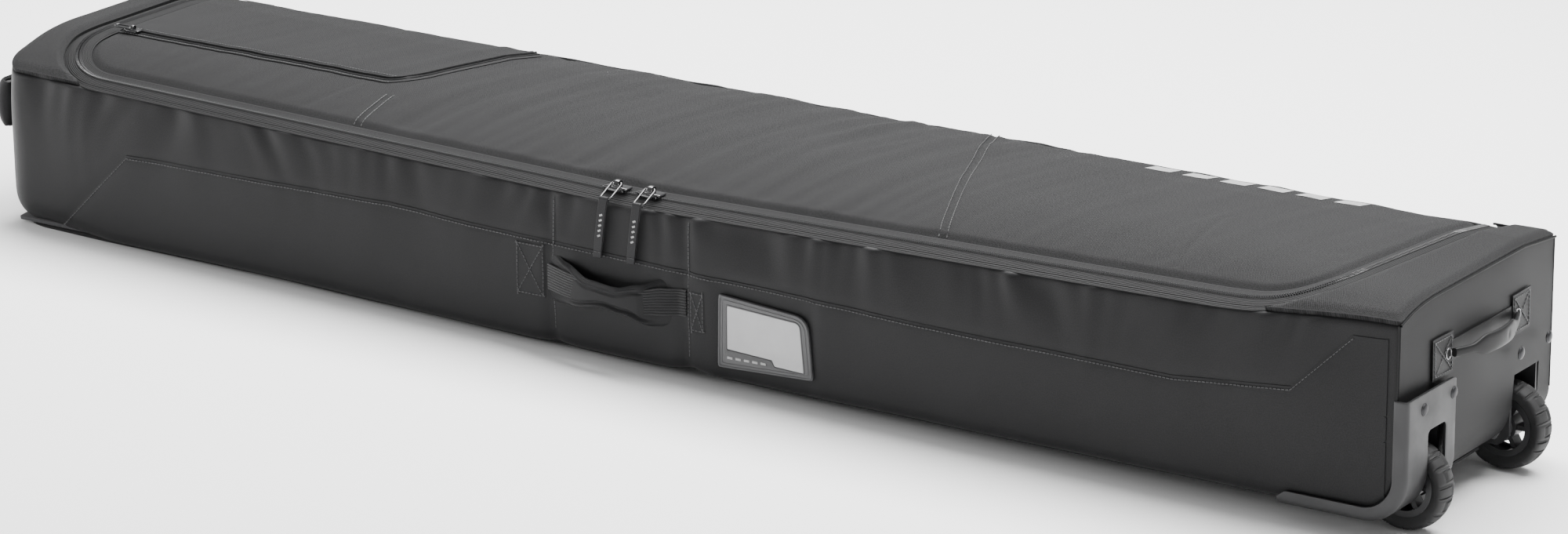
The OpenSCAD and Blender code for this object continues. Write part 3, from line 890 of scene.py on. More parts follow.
def panel_place(u, v):
    y = (2 * u - 1) * (HALF_W - 0.0015)
    if v < 0.22:
        z = TOE_R * (1 - math.cos(v / 0.22 * math.pi / 2))
        x = END_X - TOE_R * (1 - math.sin(v / 0.22 * math.pi / 2))
        return Vector((x, y, z))
    top = top_z(END_X, y) - 0.0012
    return panel_point(y, TOE_R + (top - TOE_R) * (v - 0.22) / 0.78)


end_panel = grid_piece("wheel_end_sheet", 104, 72, panel_place, 0.31, 0.21)
cut_faces(end_panel, over_wheel)
sew(end_panel, panel_cloth, "tub", "end_fabric", "wheel_end_panel", thick=0.003)


def piping(name, points):
    """A thin cord covered in the panel's cloth, along a chain of points."""
    unit = rod(0.0013, 0.004, (0.002, 0, 0), (0, math.pi / 2, 0), 8, end_fill_type="NOTHING")
    piece = run_along(unit, points, 0.004)
    piece.name = name
    return sew(piece, panel_cloth, "tub", "end_fabric")


piping("panel_top_piping", [Vector((END_X + 0.0002, y, top_z(END_X, y) - 0.0006))
                            for y in ((HALF_W - 0.002) * (i / 40 - 1) for i in range(81))])
panel_rise = top_z(END_X, -HALF_W) - 0.002 - TOE_R, top_z(END_X, HALF_W) - 0.002 - TOE_R
for side, label, rise in ((-1, "front", panel_rise[0]), (1, "back", panel_rise[1])):
    piping("panel_%s_piping" % label,
           [Vector((END_X - 0.0006, side * (HALF_W - 0.0014), TOE_R + rise * i / 24)) for i in range(25)])

# ---- Lid pocket -----------------------------------------------------------------------
# A flat pocket is sewn on the far half of the lid. Its coil zip lies beside a folded
# storm flap, with two raised rows along the opening, and turns back before the lid's seam.


def rounded(corners, radius, turns=6):
    """A chain of points with its inner corners rounded."""
    chain = [Vector(corners[0])]
    for a, b, c in zip(corners, corners[1:], corners[2:]):
        a, b, c = Vector(a), Vector(b), Vector(c)
        back, on = (a - b).normalized(), (c - b).normalized()
        reach = min(radius, (a - b).length / 2, (c - b).length / 2)
        for i in range(turns + 1):
            t = i / turns
            chain.append(b + back * reach * (1 - t) ** 2 + on * reach * t ** 2)
    return chain + [Vector(corners[-1])]


def spaced(chain, step):
    """The same chain with points at an even spacing."""
    total = sum((b - a).length for a, b in zip(chain, chain[1:]))
    count = max(2, int(total / step))
    points, walked, i = [], 0.0, 0
    for k in range(count + 1):
        target = total * k / count
        while i < len(chain) - 2 and walked + (chain[i + 1] - chain[i]).length < target:
            walked += (chain[i + 1] - chain[i]).length
            i += 1
        length = (chain[i + 1] - chain[i]).length or 1.0
        points.append(chain[i].lerp(chain[i + 1], clamp((target - walked) / length)))
    return points


def ribbon(name, chain, profile, surface, step=0.005):
    """A strip that follows a chain of points on a surface; profile gives offsets across it and lifts."""
    points = spaced(chain, step)
    sides = []
    for i in range(len(points)):
        way = (points[min(i + 1, len(points) - 1)] - points[max(i - 1, 0)]).normalized()
        sides.append(Vector((way.y, -way.x)))

    def place(u, v):
        i, k = round(u * (len(points) - 1)), round(v * (len(profile) - 1))
        d, lift = profile[k]
        spot = points[i] + sides[i] * d
        return surface(spot.x, spot.y, lift)

    length = step * len(points)
    return grid_piece(name, len(points) - 1, len(profile) - 1, place, length, 0.01)


def flipped(piece):
    select_only(piece)
    bpy.ops.object.mode_set(mode="EDIT")
    bpy.ops.mesh.select_all(action="SELECT")
    bpy.ops.mesh.flip_normals()
    bpy.ops.object.mode_set(mode="OBJECT")
    return piece


POCKET_FRONT = -0.044
POCKET_LINE = rounded([(-0.765, POCKET_FRONT), (-0.408, POCKET_FRONT + 0.008), (-0.386, -0.014),
                       (-0.340, 0.128)], 0.03)


def pocket_line_y(x):
    return POCKET_FRONT + 0.008 * clamp((x + 0.765) / 0.357)


def pocket_place(u, v):
    x = -0.764 + (0.764 - 0.392) * u
    low = pocket_line_y(x) + 0.007
    y = low + (0.130 - low) * v
    x += 0.048 * u * v
    edge = min(u * 0.37, (1 - u) * 0.37, v * 0.17)
    return lid_point(x, y, 0.0006 + 0.0016 * smooth(edge / 0.006))


sew(grid_piece("pocket_cloth", 96, 44, pocket_place, 0.37, 0.17), top_cloth, "lid", "top_fabric",
    "pocket_panel")
flap = ribbon("pocket_storm_flap", POCKET_LINE,
              [(-0.0125, 0.0008), (-0.0122, 0.0022), (-0.0110, 0.0030), (-0.0090, 0.0026), (-0.0068, 0.0026),
               (-0.0048, 0.0034), (-0.0034, 0.0032), (-0.0030, 0.0018)], lid_point)
sew(flipped(flap), top_cloth, "lid", "top_fabric", "pocket_flap")
zip_strip = ribbon("pocket_zip_tape", POCKET_LINE,
                   [(-0.0040, 0.0006), (-0.0016, 0.0010), (-0.0012, 0.0019), (-0.0003, 0.0020), (0.0, 0.0014),
                    (0.0003, 0.0020), (0.0012, 0.0019), (0.0016, 0.0010), (0.0060, 0.0008)], lid_point)
sew(flipped(zip_strip), tape_cloth, "lid", "zip_teeth", "pocket_zip")
pocket_edge = spaced(rounded([(-0.760, POCKET_FRONT), (-0.408, POCKET_FRONT + 0.008)], 0.03), 0.012)
stitches("pocket_stitches", [[lid_point(p.x, p.y + d, lift) for p in pocket_edge]
                             for d, lift in ((-0.0050, 0.0016), (0.0080, 0.0034))], "lid", 0.0036, 0.0004)

# Pale printed bars along the back of the lid, and a small woven label at its corner.

ink = plain_material("pale_ink", (0.42, 0.42, 0.42), 0.55)
ink_wear = ranged(ink.node_tree, noise_node(ink.node_tree, 260, 5), 0.0, 1.0, 0.36, 0.50)
link(ink.node_tree, mixed(ink.node_tree, ink_wear, (0.10, 0.10, 0.10), (0.34, 0.34, 0.34)),
     ink.node_tree.nodes["Principled BSDF"].inputs["Base Color"])

bars = []
for i in range(6):
    left = 0.398 + 0.042 * i
    bars.append(grid_piece("bar", 12, 6, lambda u, v: lid_point(
        left + 0.028 * u + 0.004 * v, 0.119 + 0.016 * v, 0.0004), 0.03, 0.016))
sew(joined("printed_bars", bars), ink, "lid", "print", "print_patch")
label_low, label_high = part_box("lid_label")
label = grid_piece("woven_label", 24, 4, lambda u, v: lid_point(
    label_low.x + (label_high.x - label_low.x) * u, 0.1365 + 0.005 * v, 0.0012 + 0.0004 * v), 0.06, 0.005)
sew(label, ink, "lid", "label", "lid_label", thick=-0.0006)

# ---- Identity window ------------------------------------------------------------------
# A moulded rubber frame with a raised rim is sewn beside the handle. It holds a card under
# a clear sheet; a row of five plain raised bars is moulded below the window.


def skinned(name, colour, roughness, grain, patch, spread, tones, relief, depth):
    """A hard surface with a fine grain, and patches that differ a little in tone and polish."""
    material = plain_material(name, colour, roughness)
    tree = material.node_tree
    shader = tree.nodes["Principled BSDF"]
    place = tree.nodes.new("ShaderNodeTexCoord").outputs["Object"]
    patches = noise_node(tree, *patch, place)
    dull = ranged(tree, patches, roughness - spread[0], roughness + 0.12, *spread[1])
    link(tree, dull, shader.inputs["Roughness"])
    link(tree, mixed(tree, patches, *tones), shader.inputs["Base Color"])
    emboss(tree, noise_node(tree, grain, 2, place), relief, depth)
    return material


def moulded(name, colour, roughness, grain=420, relief=0.12):
    """Moulded rubber or plastic: a fine pebbled skin with soft dull patches."""
    tones = (lighter(colour, 0.82), lighter(colour, 1.3, 0.002))
    return skinned(name, colour, roughness, grain, (22, 5), (0.07, (0.35, 0.70)), tones, relief, 0.0004)


frame_rubber = moulded("frame_rubber", (0.055, 0.055, 0.057), 0.45)
id_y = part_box("id_frame")[0].y
WINDOW = [(0.092, 0.029), (0.1445, 0.027), (0.1475, 0.021), (0.181, 0.020), (0.176, 0.069), (0.092, 0.073)]


def rounded_outline(corners, small, big):
    """A closed outline with small round corners; big gives one corner's number and its larger reach."""
    count, outline = len(corners), []
    for i in range(count):
        a, b, c = (Vector(corners[(i + k - 1) % count]) for k in range(3))
        reach = big[1] if i == big[0] else small
        back, on = (a - b).normalized(), (c - b).normalized()
        outline += [b + back * reach * (1 - t / 6) ** 2 + on * reach * (t / 6) ** 2 for t in range(7)]
    return outline


def flat_plate(name, outline, y, thick):
    """A plate in X and Z that faces the front."""
    shape = bmesh.new()
    face = shape.faces.new([shape.verts.new((p.x, y, p.y)) for p in outline])
    face.normal_update()
    if face.normal.y > 0:
        face.normal_flip()
    mesh = bpy.data.meshes.new(name)
    shape.to_mesh(mesh)
    shape.free()
    piece = bpy.data.objects.new(name, mesh)
    bpy.context.scene.collection.objects.link(piece)
    apply_modifier(piece, "SOLIDIFY", thickness=thick, offset=-1)
    return piece


def inset_outline(corners, d):
    """Outline moved inwards by d; corners run anticlockwise in X and Z."""
    count, moved = len(corners), []
    for i in range(count):
        a, b, c = (Vector(corners[(i + k - 1) % count]) for k in range(3))
        n1, n2 = (Vector((-(q - p).y, (q - p).x)).normalized() for p, q in ((a, b), (b, c)))
        half = (n1 + n2).normalized()
        moved.append(b + half * d / max(0.3, half.dot(n1)))
    return [tuple(p) for p in moved]


ID_OUTER = [(0.081, 0.009), (0.192, 0.014), (0.186, 0.077), (0.082, 0.084)]
plate = flat_plate("id_holder", rounded_outline(ID_OUTER, 0.003, (2, 0.016)), id_y + 0.0012, 0.0028)
cutter = flat_plate("cutter", rounded_outline(WINDOW, 0.0015, (4, 0.006)), id_y - 0.004, 0.02)
apply_modifier(plate, "BOOLEAN", object=cutter, operation="DIFFERENCE", solver="EXACT")
bpy.data.objects.remove(cutter)
apply_modifier(plate, "BEVEL", width=0.0005, segments=2, limit_method="ANGLE", angle_limit=math.radians(50))
sew(plate, frame_rubber, "tub", "moulded_rubber", "id_frame")


def raised_line(name, corners, y, radius, small, big):
    """A rounded moulded ridge along a closed outline."""
    points = rounded_outline(corners, small, big)
    profile = [(radius * math.cos(math.pi * i / 6), radius * math.sin(math.pi * i / 6)) for i in range(7)]
    piece = ribbon(name, spaced(points + points[:1], 0.0025), profile,
                   lambda x, z, lift: Vector((x, y - lift, z)), 0.0025)
    return sew(flipped(piece), frame_rubber, "tub", "moulded_rubber")


raised_line("id_holder_rim", inset_outline(ID_OUTER, 0.0012), id_y + 0.0014, 0.0011, 0.003, (2, 0.015))
raised_line("id_holder_inner_rim", inset_outline(ID_OUTER, 0.0046), id_y + 0.0013, 0.0006, 0.002, (2, 0.012))
raised_line("id_window_rim", inset_outline(WINDOW, -0.0012), id_y + 0.0013, 0.0007, 0.0015, (4, 0.006))
bar = joined("id_holder_bars", [block((0.0955 + 0.0098 * i, id_y + 0.0010, 0.0205 + 0.00025 * i),
                                      (0.0062, 0.0012, 0.0026)) for i in range(5)])
apply_modifier(bar, "BEVEL", width=0.0004, segments=2)
sew(bar, plain_material("pale_rubber", (0.32, 0.32, 0.32), 0.5), "tub", "print")

clear_sheet = moulded("clear_sheet", (0.32, 0.32, 0.325), 0.16, 90, 0.02)
clear_sheet.node_tree.nodes["Principled BSDF"].inputs["Coat Weight"].default_value = 0.4


def dress(material, *nodes):
    """Give modelled parts that are kept as they are their material."""
    for name in nodes:
        for slot in frame["nodes"][name].material_slots:
            slot.material = material


dress(clear_sheet, "id_window")
dress(moulded("card", (0.42, 0.42, 0.425), 0.7), "id_card")

# ---- Wheel brackets -------------------------------------------------------------------
# Each wheel stands in a pressed steel bracket: one plate bent from under the base up the
# end panel, with its sides folded back and a slot for the wheel. Four domed rivets per end.


def metal(name, colour, roughness):
    """Painted or bare steel with a brushed grain, handling marks and worn spots."""
    tones = (lighter(colour, 0.85), lighter(colour, 1.15))
    material = skinned(name, colour, roughness, 900, (34, 6), (0.08, (0.3, 0.7)), tones, 0.10, 0.0003)
    material.node_tree.nodes["Principled BSDF"].inputs["Metallic"].default_value = 0.75
    return material


bracket_paint = metal("bracket_paint", (0.042, 0.042, 0.043), 0.45)
dark_steel = metal("dark_steel", (0.035, 0.035, 0.037), 0.38)
bare_steel = metal("bare_steel", (0.22, 0.22, 0.225), 0.3)

bracket_low, bracket_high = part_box("wheel_bracket_front")
BEND_R = 0.046
RAIL = bracket_high.x - BEND_R - bracket_low.x
ARC = BEND_R * math.pi / 2
BRACKET_LEN = RAIL + ARC + bracket_high.z - bracket_low.z - BEND_R


def bend_point(s, depth):
    """X and Z at a distance along the bracket's bent plate, at a depth behind its face."""
    centre_x, centre_z = bracket_high.x - BEND_R, bracket_low.z + BEND_R
    if s < RAIL:
        return bracket_low.x + s, bracket_low.z + depth
    if s < RAIL + ARC:
        a = (s - RAIL) / BEND_R
        return centre_x + (BEND_R - depth) * math.sin(a), centre_z - (BEND_R - depth) * math.cos(a)
    return bracket_high.x - depth, centre_z + s - RAIL - ARC


FOLD = ((0.0, 0.014), (0.0, 0.010), (0.0, 0.0065), (0.0003, 0.0042), (0.0012, 0.0022), (0.0026, 0.0008),
        (0.0045, 0.0001), (0.0060, 0.0))
SMALL_FOLD = ((0.0055, 0.0), (0.0035, 0.0003), (0.0017, 0.0012), (0.0005, 0.0028), (0.0, 0.0050), (0.0, 0.0095))


def bracket_at(side):
    outer, inner = bracket_low.y, bracket_high.y
    section = [(outer + y, depth, 1.0) for y, depth in FOLD]
    section += [(outer + 0.006 + (inner - 0.0055 - outer - 0.006) * i / 20, 0.0, 0.0) for i in range(1, 20)]
    section += [(inner - y, depth, 2.0) for y, depth in SMALL_FOLD]

    def place(u, v):
        y, depth, kind = section[round(v * (len(section) - 1))]
        corner = 0.010
        edge = inner - y
        drop = corner - math.sqrt(max(0.0, corner ** 2 - max(0.0, corner - edge) ** 2))
        s = u * (BRACKET_LEN - drop)
        if kind == 2.0:
            depth *= smooth((s - RAIL + 0.002) / 0.010)
        if kind == 1.0 and depth > 0.006:
            depth = 0.006 + (depth - 0.006) * smooth((s + 0.004) / 0.014)
        x, z = bend_point(s, depth)
        return Vector((x, -side * y, z))

    plate = grid_piece("bracket", 110, len(section) - 1, place, 0.24, 0.12)
    if side < 0:
        flipped(plate)
    apply_modifier(plate, "SOLIDIFY", thickness=0.0028, offset=-1)
    slot = block((0.815, side * 0.100, 0.017), (0.120, 0.035, 0.114))
    apply_modifier(slot, "BEVEL", width=0.005, segments=4, affect="EDGES")
    apply_modifier(plate, "BOOLEAN", object=slot, operation="DIFFERENCE", solver="EXACT")
    bpy.data.objects.remove(slot)
    apply_modifier(plate, "BEVEL", width=0.00045, segments=2, limit_method="ANGLE",
                   angle_limit=math.radians(55))
    return plate


for side, label in ((-1, "front"), (1, "back")):
    plate = bracket_at(side)
    plate.name = "bent_bracket_" + label
    sew(plate, bracket_paint, "tub", "bracket", "wheel_bracket_" + label)

heads = []
for y in (-0.126, -0.068, 0.068, 0.126):
    centre = (bracket_high.x, y, 0.097)
    bpy.ops.mesh.primitive_uv_sphere_add(segments=24, ring_count=14, radius=0.0056, location=centre)
    bpy.context.object.scale = (0.42, 1, 1)
    heads += [fixed_in_mesh(bpy.context.object), hoop(0.0056, 0.0007, centre, 28, 8)]
sew(joined("rivet_heads", heads), dark_steel, "tub", "rivet", "bracket_rivets")
dress(bare_steel, "axle_front", "axle_back", "axle_nuts", "bearings_front", "bearings_back")
dress(dark_steel, "backing_plates")
dress(moulded("housing_plastic", (0.012, 0.012, 0.013), 0.5), "wheel_housing_front", "wheel_housing_back")
dress(moulded("rim_plastic", (0.012, 0.012, 0.013), 0.4), "rim_front", "rim_back")

# ---- Wheels ---------------------------------------------------------------------------
# Moulded rubber tyres with a low block tread: U-shaped grooves open to alternate sides.

tyre_rubber = moulded("tyre_rubber", (0.010, 0.010, 0.0104), 0.68, 700, 0.2)
AXLE = Vector((0.810, 0.100, 0.013))
HALF_TREAD = ((-0.0108, 0.0302), (-0.0118, 0.0325), (-0.0124, 0.0352), (-0.0129, 0.0375), (-0.0130, 0.0392),
              (-0.0124, 0.0406), (-0.0112, 0.0416), (-0.0096, 0.0423), (-0.0080, 0.0428), (-0.0064, 0.0432),
              (-0.0048, 0.0435), (-0.0032, 0.0437), (-0.0016, 0.0439))
TREAD = HALF_TREAD + ((0.0, 0.0439),) + tuple((-w, r) for w, r in HALF_TREAD[::-1])
BLOCKS = 18


def tread_groove(turn, w):
    """Depth of the tread's grooves, at a share of a turn and w across the tyre."""
    phase = (turn * BLOCKS) % 1.0
    if int(turn * BLOCKS) % 2:
        w = -w
    leg = abs(phase - 0.5)
    if w > -0.0035 and 0.26 < leg < 0.38:
        return 0.0013
    if -0.0060 < w < -0.0030 and leg < 0.38:
        return 0.0013
    return 0.0 if leg < 0.44 else 0.0005


def merged(piece, reach, fill=False):
    """Close the seam where a grid meets itself."""
    def work(shape):
        bmesh.ops.remove_doubles(shape, verts=shape.verts[:], dist=reach)
        if fill:
            bmesh.ops.holes_fill(shape, edges=shape.edges[:])
        bmesh.ops.recalc_face_normals(shape, faces=shape.faces[:])
    edit_mesh(piece, work)
    return piece


for side, label in ((-1, "front"), (1, "back")):
    def tyre_place(u, v):
        w, r = TREAD[round(v * (len(TREAD) - 1))]
        if r > 0.0372:
            r -= tread_groove(u % 1.0, w * side)
        a = 2 * math.pi * u
        return Vector((AXLE.x + r * math.sin(a), side * AXLE.y + w, AXLE.z + r * math.cos(a)))

    tyre = grid_piece("tyre_tread_" + label, BLOCKS * 20, len(TREAD) - 1, tyre_place, 0.27, 0.04)
    flipped(tyre)
    merged(tyre, 0.00002)
    apply_modifier(tyre, "SOLIDIFY", thickness=0.0025, offset=-1)
    sew(tyre, tyre_rubber, "wheel_" + label, "tyre", "tyre_" + label)

# ---- Handles --------------------------------------------------------------------------
# Ribbed webbing carries the load. At the side it runs through a wrap of the wall's cloth,
# folded narrow in the middle and spread out where it is sewn into the two seams.

webbing_cloth = ribbed("webbing", (0.007, 0.007, 0.0075), (0.012, 0.012, 0.0126), 0.6, 0.25, 1100, 0.0008)
HANDLE_X, HANDLE_HALF, HANDLE_BOW = -0.044, 0.080, 0.016
BOW_R = (HANDLE_HALF ** 2 + HANDLE_BOW ** 2) / (2 * HANDLE_BOW)


def handle_point(x, z, lift):
    """A point on the bowed side handle; lift is towards the front."""
    t = clamp(x - HANDLE_X, -HANDLE_HALF, HANDLE_HALF)
    bow = HANDLE_BOW - BOW_R + math.sqrt(BOW_R ** 2 - t ** 2)
    return Vector((x, -HALF_W - 0.0042 - bow - lift, z))


def curve_at(points, x):
    """Smooth height at x through a few given points."""
    if x <= points[0][0]:
        return points[0][1]
    for (ax, az), (bx, bz) in zip(points, points[1:]):
        if x <= bx:
            return az + (bz - az) * smooth((x - ax) / (bx - ax))
    return points[-1][1]


WRAP_TOP = ((-0.122, 0.094), (-0.095, 0.087), (-0.062, 0.077), (-0.030, 0.0745), (-0.006, 0.080),
            (0.018, 0.088), (0.043, 0.093))
WRAP_LOW = ((-0.122, 0.040), (-0.083, 0.044), (-0.045, 0.0495), (-0.018, 0.046), (0.006, 0.0385),
            (0.043, 0.041))
WEB_TOP = ((-0.122, 0.080), (-0.080, 0.078), (-0.030, 0.0715), (0.000, 0.0765), (0.020, 0.080), (0.043, 0.081))
WEB_LOW = ((-0.122, 0.054), (-0.080, 0.053), (-0.040, 0.0535), (-0.010, 0.050), (0.012, 0.052), (0.043, 0.054))


def cover(x):
    """1 where the wrap lies over the webbing, 0 where the webbing shows in front of it."""
    return smooth((x + 0.118) / 0.05) * smooth((0.014 - x) / 0.02)


def wrap_place(x0, x1):
    def place(u, v):
        x = x0 + (x1 - x0) * u
        low, high = curve_at(WRAP_LOW, x), curve_at(WRAP_TOP, x)
        z = low + (high - low) * v
        rim = min(v, 1 - v) * (high - low)
        lift = -0.0030 + 0.0052 * cover(x) * smooth(rim / 0.004) + 0.0018 * bump(rim - 0.003, 0.003)
        lift -= 0.0014 * bump(rim - 0.0075, 0.0014) * cover(x)
        lift += 0.0009 * wave(x * 26, z * 30, 40)
        lift -= 0.004 * smooth((abs(v - 0.5) - 0.30) / 0.2) * (1 - cover(x))
        return handle_point(x, z, lift)
    return place


def web_place(x0, x1):
    def place(u, v):
        x = x0 + (x1 - x0) * u
        low, high = curve_at(WEB_LOW, x), curve_at(WEB_TOP, x)
        return handle_point(x, low + (high - low) * v, 0.0008 + 0.0003 * wave(x * 30, v, 41))
    return place


for x0, x1, label in ((-0.122, HANDLE_X, "left"), (HANDLE_X, 0.044, "right")):
    wrap = grid_piece("handle_wrap_" + label, 60, 44, wrap_place(x0, x1), 0.08, 0.05)
    web = grid_piece("handle_webbing_" + label, 50, 14, web_place(x0, x1), 0.08, 0.027)
    for piece, material, slot, node in ((wrap, side_cloth, "side_fabric", "side_handle_sleeve"),
                                        (web, webbing_cloth, "webbing", "side_handle_strap")):
        apply_modifier(piece, "SOLIDIFY", thickness=0.0016, offset=-1)
        finish_cloth(piece, material, slot)
        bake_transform(piece)
        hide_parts(node)

# The webbing's ends lie under the wall's cloth, which shows only their stitched boxes.


def box_x(x0, x1, z0, z1, surface, step=0.008):
    """A stitched rectangle with its diagonals, as chains of points."""
    corners = [(x0, z0), (x1, z0), (x1, z1), (x0, z1), (x0, z0)]
    chains = []
    for a, b in list(zip(corners, corners[1:])) + [(corners[0], corners[2]), (corners[1], corners[3])]:
        count = max(3, int((Vector(b) - Vector(a)).length / step))
        chains.append([surface(p.x, p.y) for p in along(a, b, count)])
    return chains


PATCHES = ((-0.164, -0.123, 0.040, 0.101), (0.046, 0.070, 0.037, 0.085))
raised = []
for x0, x1, z0, z1 in PATCHES:
    def patch_place(u, v):
        edge = min(min(u, 1 - u) * (x1 - x0), min(v, 1 - v) * (z1 - z0))
        lift = -0.0008 + 0.0024 * smooth(edge / 0.005)
        return wall_point(x0 + (x1 - x0) * u, z0 + (z1 - z0) * v, -1, lift)
    raised.append(grid_piece("patch", 30, 40, patch_place, x1 - x0, z1 - z0))
sew(joined("handle_anchor_cloth", raised), side_cloth, "tub", "webbing", "side_handle_anchors")
for number, (x0, x1, z0, z1) in enumerate(PATCHES):
    stitches("anchor_%d_stitches" % number, box_x(x0 + 0.005, x1 - 0.005, z0 + 0.005, z1 - 0.005,
                                                  lambda x, z: wall_point(x, z, -1, 0.0019)), "tub")

# The wheel end has a moulded grip looped through two eyelets in a strip of doubled cloth.


def end_strip(name, y0, y1, z0, z1, lift, columns):
    def place(u, v):
        y, z = y0 + (y1 - y0) * u, z0 + (z1 - z0) * v
        return panel_point(y, z, lift + 0.0006 * wave(y * 40, z * 40, 50))
    return grid_piece(name, columns, 20, place, y1 - y0, z1 - z0)


patches = [end_strip("end_strip_cloth", -0.098, 0.098, 0.1245, 0.1445, 0.0014, 80)]
for y0, y1 in ((-0.099, -0.060), (0.060, 0.099)):
    patches.append(end_strip("patch", y0, y1, 0.114, 0.154, 0.0024, 30))
sew(joined("end_handle_cloth", patches), side_cloth, "tub", "webbing", "end_handle_base", thick=0.0012)
for side, label in ((-1, "front"), (1, "back")):
    stitches("end_patch_%s_stitches" % label, box_x(side * 0.0955, side * 0.0635, 0.1175, 0.1505,
                                                    lambda y, z: panel_point(y, z, 0.0028)), "tub")
rings = [hoop(0.0050, 0.0008, panel_point(y, 0.134, 0.0028), 36, 10) for y in (-0.070, 0.070)]
sew(joined("eyelet_rims", rings), bare_steel, "tub", "eyelet", "end_handle_eyelets")

grip_rubber = moulded("grip_rubber", (0.007, 0.007, 0.0073), 0.45, 500, 0.06)
grip_rubber.node_tree.nodes["Principled BSDF"].inputs["Specular IOR Level"].default_value = 0.22
grip_low, grip_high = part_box("end_handle_grip")
GRIP_HALF = 0.064


def grip_place(u, v):
    y, a = GRIP_HALF * (2 * u - 1), 2 * math.pi * v
    stand = (grip_high.x - 0.0038 - grip_low.x) * math.cos(math.pi / 2 * abs(y) / (GRIP_HALF + 0.004)) ** 0.8
    wide = 0.0042 + 0.0060 * smooth((0.046 - abs(y)) / 0.022) - 0.0008 * bump(y, 0.03)
    thick = 0.0026 + 0.0004 * bump(y, 0.03)
    c, s = math.cos(a), math.sin(a)
    dimple = 0.0009 * bump(math.hypot(y - 0.012, wide * s), 0.003) * (1 if c > 0 else 0)
    x = grip_low.x + 0.0022 + stand + (thick * math.copysign(abs(c) ** 0.7, c)) - dimple
    return Vector((x, y, 0.134 + wide * math.copysign(abs(s) ** 0.8, s)))


grip = merged(grid_piece("moulded_grip", 90, 36, grip_place, 0.13, 0.05), 0.00001, fill=True)
sew(grip, grip_rubber, "end_handle", "grip", "end_handle_grip")

# The far end has a padded pull of folded cloth, and the back a small loop of webbing.

far_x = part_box("far_handle_anchors")[1].x
far_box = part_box("far_handle_strap")
FAR_HALF = ((0.0030, 0.108), (0.020, 0.128), (0.032, 0.122))
FAR_PATH = spaced(rounded([(far_x - d, -y) for d, y in FAR_HALF] + [(far_x - 0.036, 0.0)]
                          + [(far_x - d, y) for d, y in FAR_HALF[::-1]], 0.012), 0.004)


def far_place(u, v):
    i = round(u * (len(FAR_PATH) - 1))
    spot = FAR_PATH[i]
    t = 2 * v - 1
    curl = 0.010 * (1 - math.sqrt(1 - (0.985 * t) ** 2)) * smooth((far_x - spot.x - 0.006) / 0.02)
    return Vector((spot.x + curl, spot.y, (far_box[0].z + far_box[1].z) / 2 + 0.0245 * t))


far_strap = grid_piece("far_handle_cloth", len(FAR_PATH) - 1, 24, far_place, 0.32, 0.05)
apply_modifier(far_strap, "SOLIDIFY", thickness=0.0032, offset=0)
sew(far_strap, side_cloth, "far_handle", "webbing", "far_handle_strap")
anchors = []
for side in (-1, 1):
    def anchor_place(u, v):
        y = side * (0.080 + 0.034 * u)
        z = 0.098 + 0.048 * v
        swell = 0.008 * math.sin(math.pi * clamp(z / 0.17)) * (1 - (y / HALF_W) ** 2)
        return Vector((FAR_X - swell - 0.0028, y, z))
    anchors.append(grid_piece("anchor", 16, 20, anchor_place, 0.034, 0.048))
sew(joined("far_anchor_cloth", anchors), webbing_cloth, "tub", "webbing", "far_handle_anchors", thick=0.0012)
loop_low, loop_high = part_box("back_strap_loop")
LOOP_R = 0.0125


def loop_place(u, v):
    a = math.pi * (v - 0.5)
    return Vector((loop_low.x + (loop_high.x - loop_low.x) * u, loop_low.y - 0.002 + LOOP_R * math.cos(a),
                   0.176 + LOOP_R * math.sin(a)))


strap_loop = grid_piece("strap_loop_webbing", 12, 26, loop_place, 0.024, 0.04)
apply_modifier(strap_loop, "SOLIDIFY", thickness=0.0018, offset=0)
sew(strap_loop, webbing_cloth, "tub", "webbing", "back_strap_loop")

# ---- Sliders and pulls ----------------------------------------------------------------
# Two glossy cast sliders close towards each other. Each has a bridge that holds a wire
# ring, and the ring carries a folded tab of coated cloth with a few pale dashes.

gloss = moulded("gloss_black", (0.010, 0.010, 0.011), 0.17, 160, 0.03)
gloss.node_tree.nodes["Principled BSDF"].inputs["Coat Weight"].default_value = 0.5
gloss.node_tree.nodes["Principled BSDF"].inputs["Specular IOR Level"].default_value = 0.7
tab_cloth = cloth("tab_cloth", (0.008, 0.008, 0.009), (0.013, 0.013, 0.014), 0.42, 1500, 0.2, 0.15, 0.1)


def wire(name, points, radius, closed=True):
    """A round wire through points."""
    piece = poly_curve(name, points)
    piece.data.bevel_depth = radius
    piece.data.bevel_resolution = 3
    piece.data.splines[0].use_cyclic_u = closed
    select_only(piece)
    bpy.ops.object.convert(target="MESH")
    return bpy.context.object


def rounded_loop(w, h, r, turns=5):
    """Points round a rectangle w by h with corners of radius r, about its middle."""
    points = []
    cx, cy = w / 2 - r, h / 2 - r
    for cx, cy, start in ((cx, cy, 0), (-cx, cy, 90), (-cx, -cy, 180), (cx, -cy, 270)):
        for i in range(turns + 1):
            a = math.radians(start + 90 * i / turns)
            points.append((cx + r * math.cos(a), cy + r * math.sin(a)))
    return points


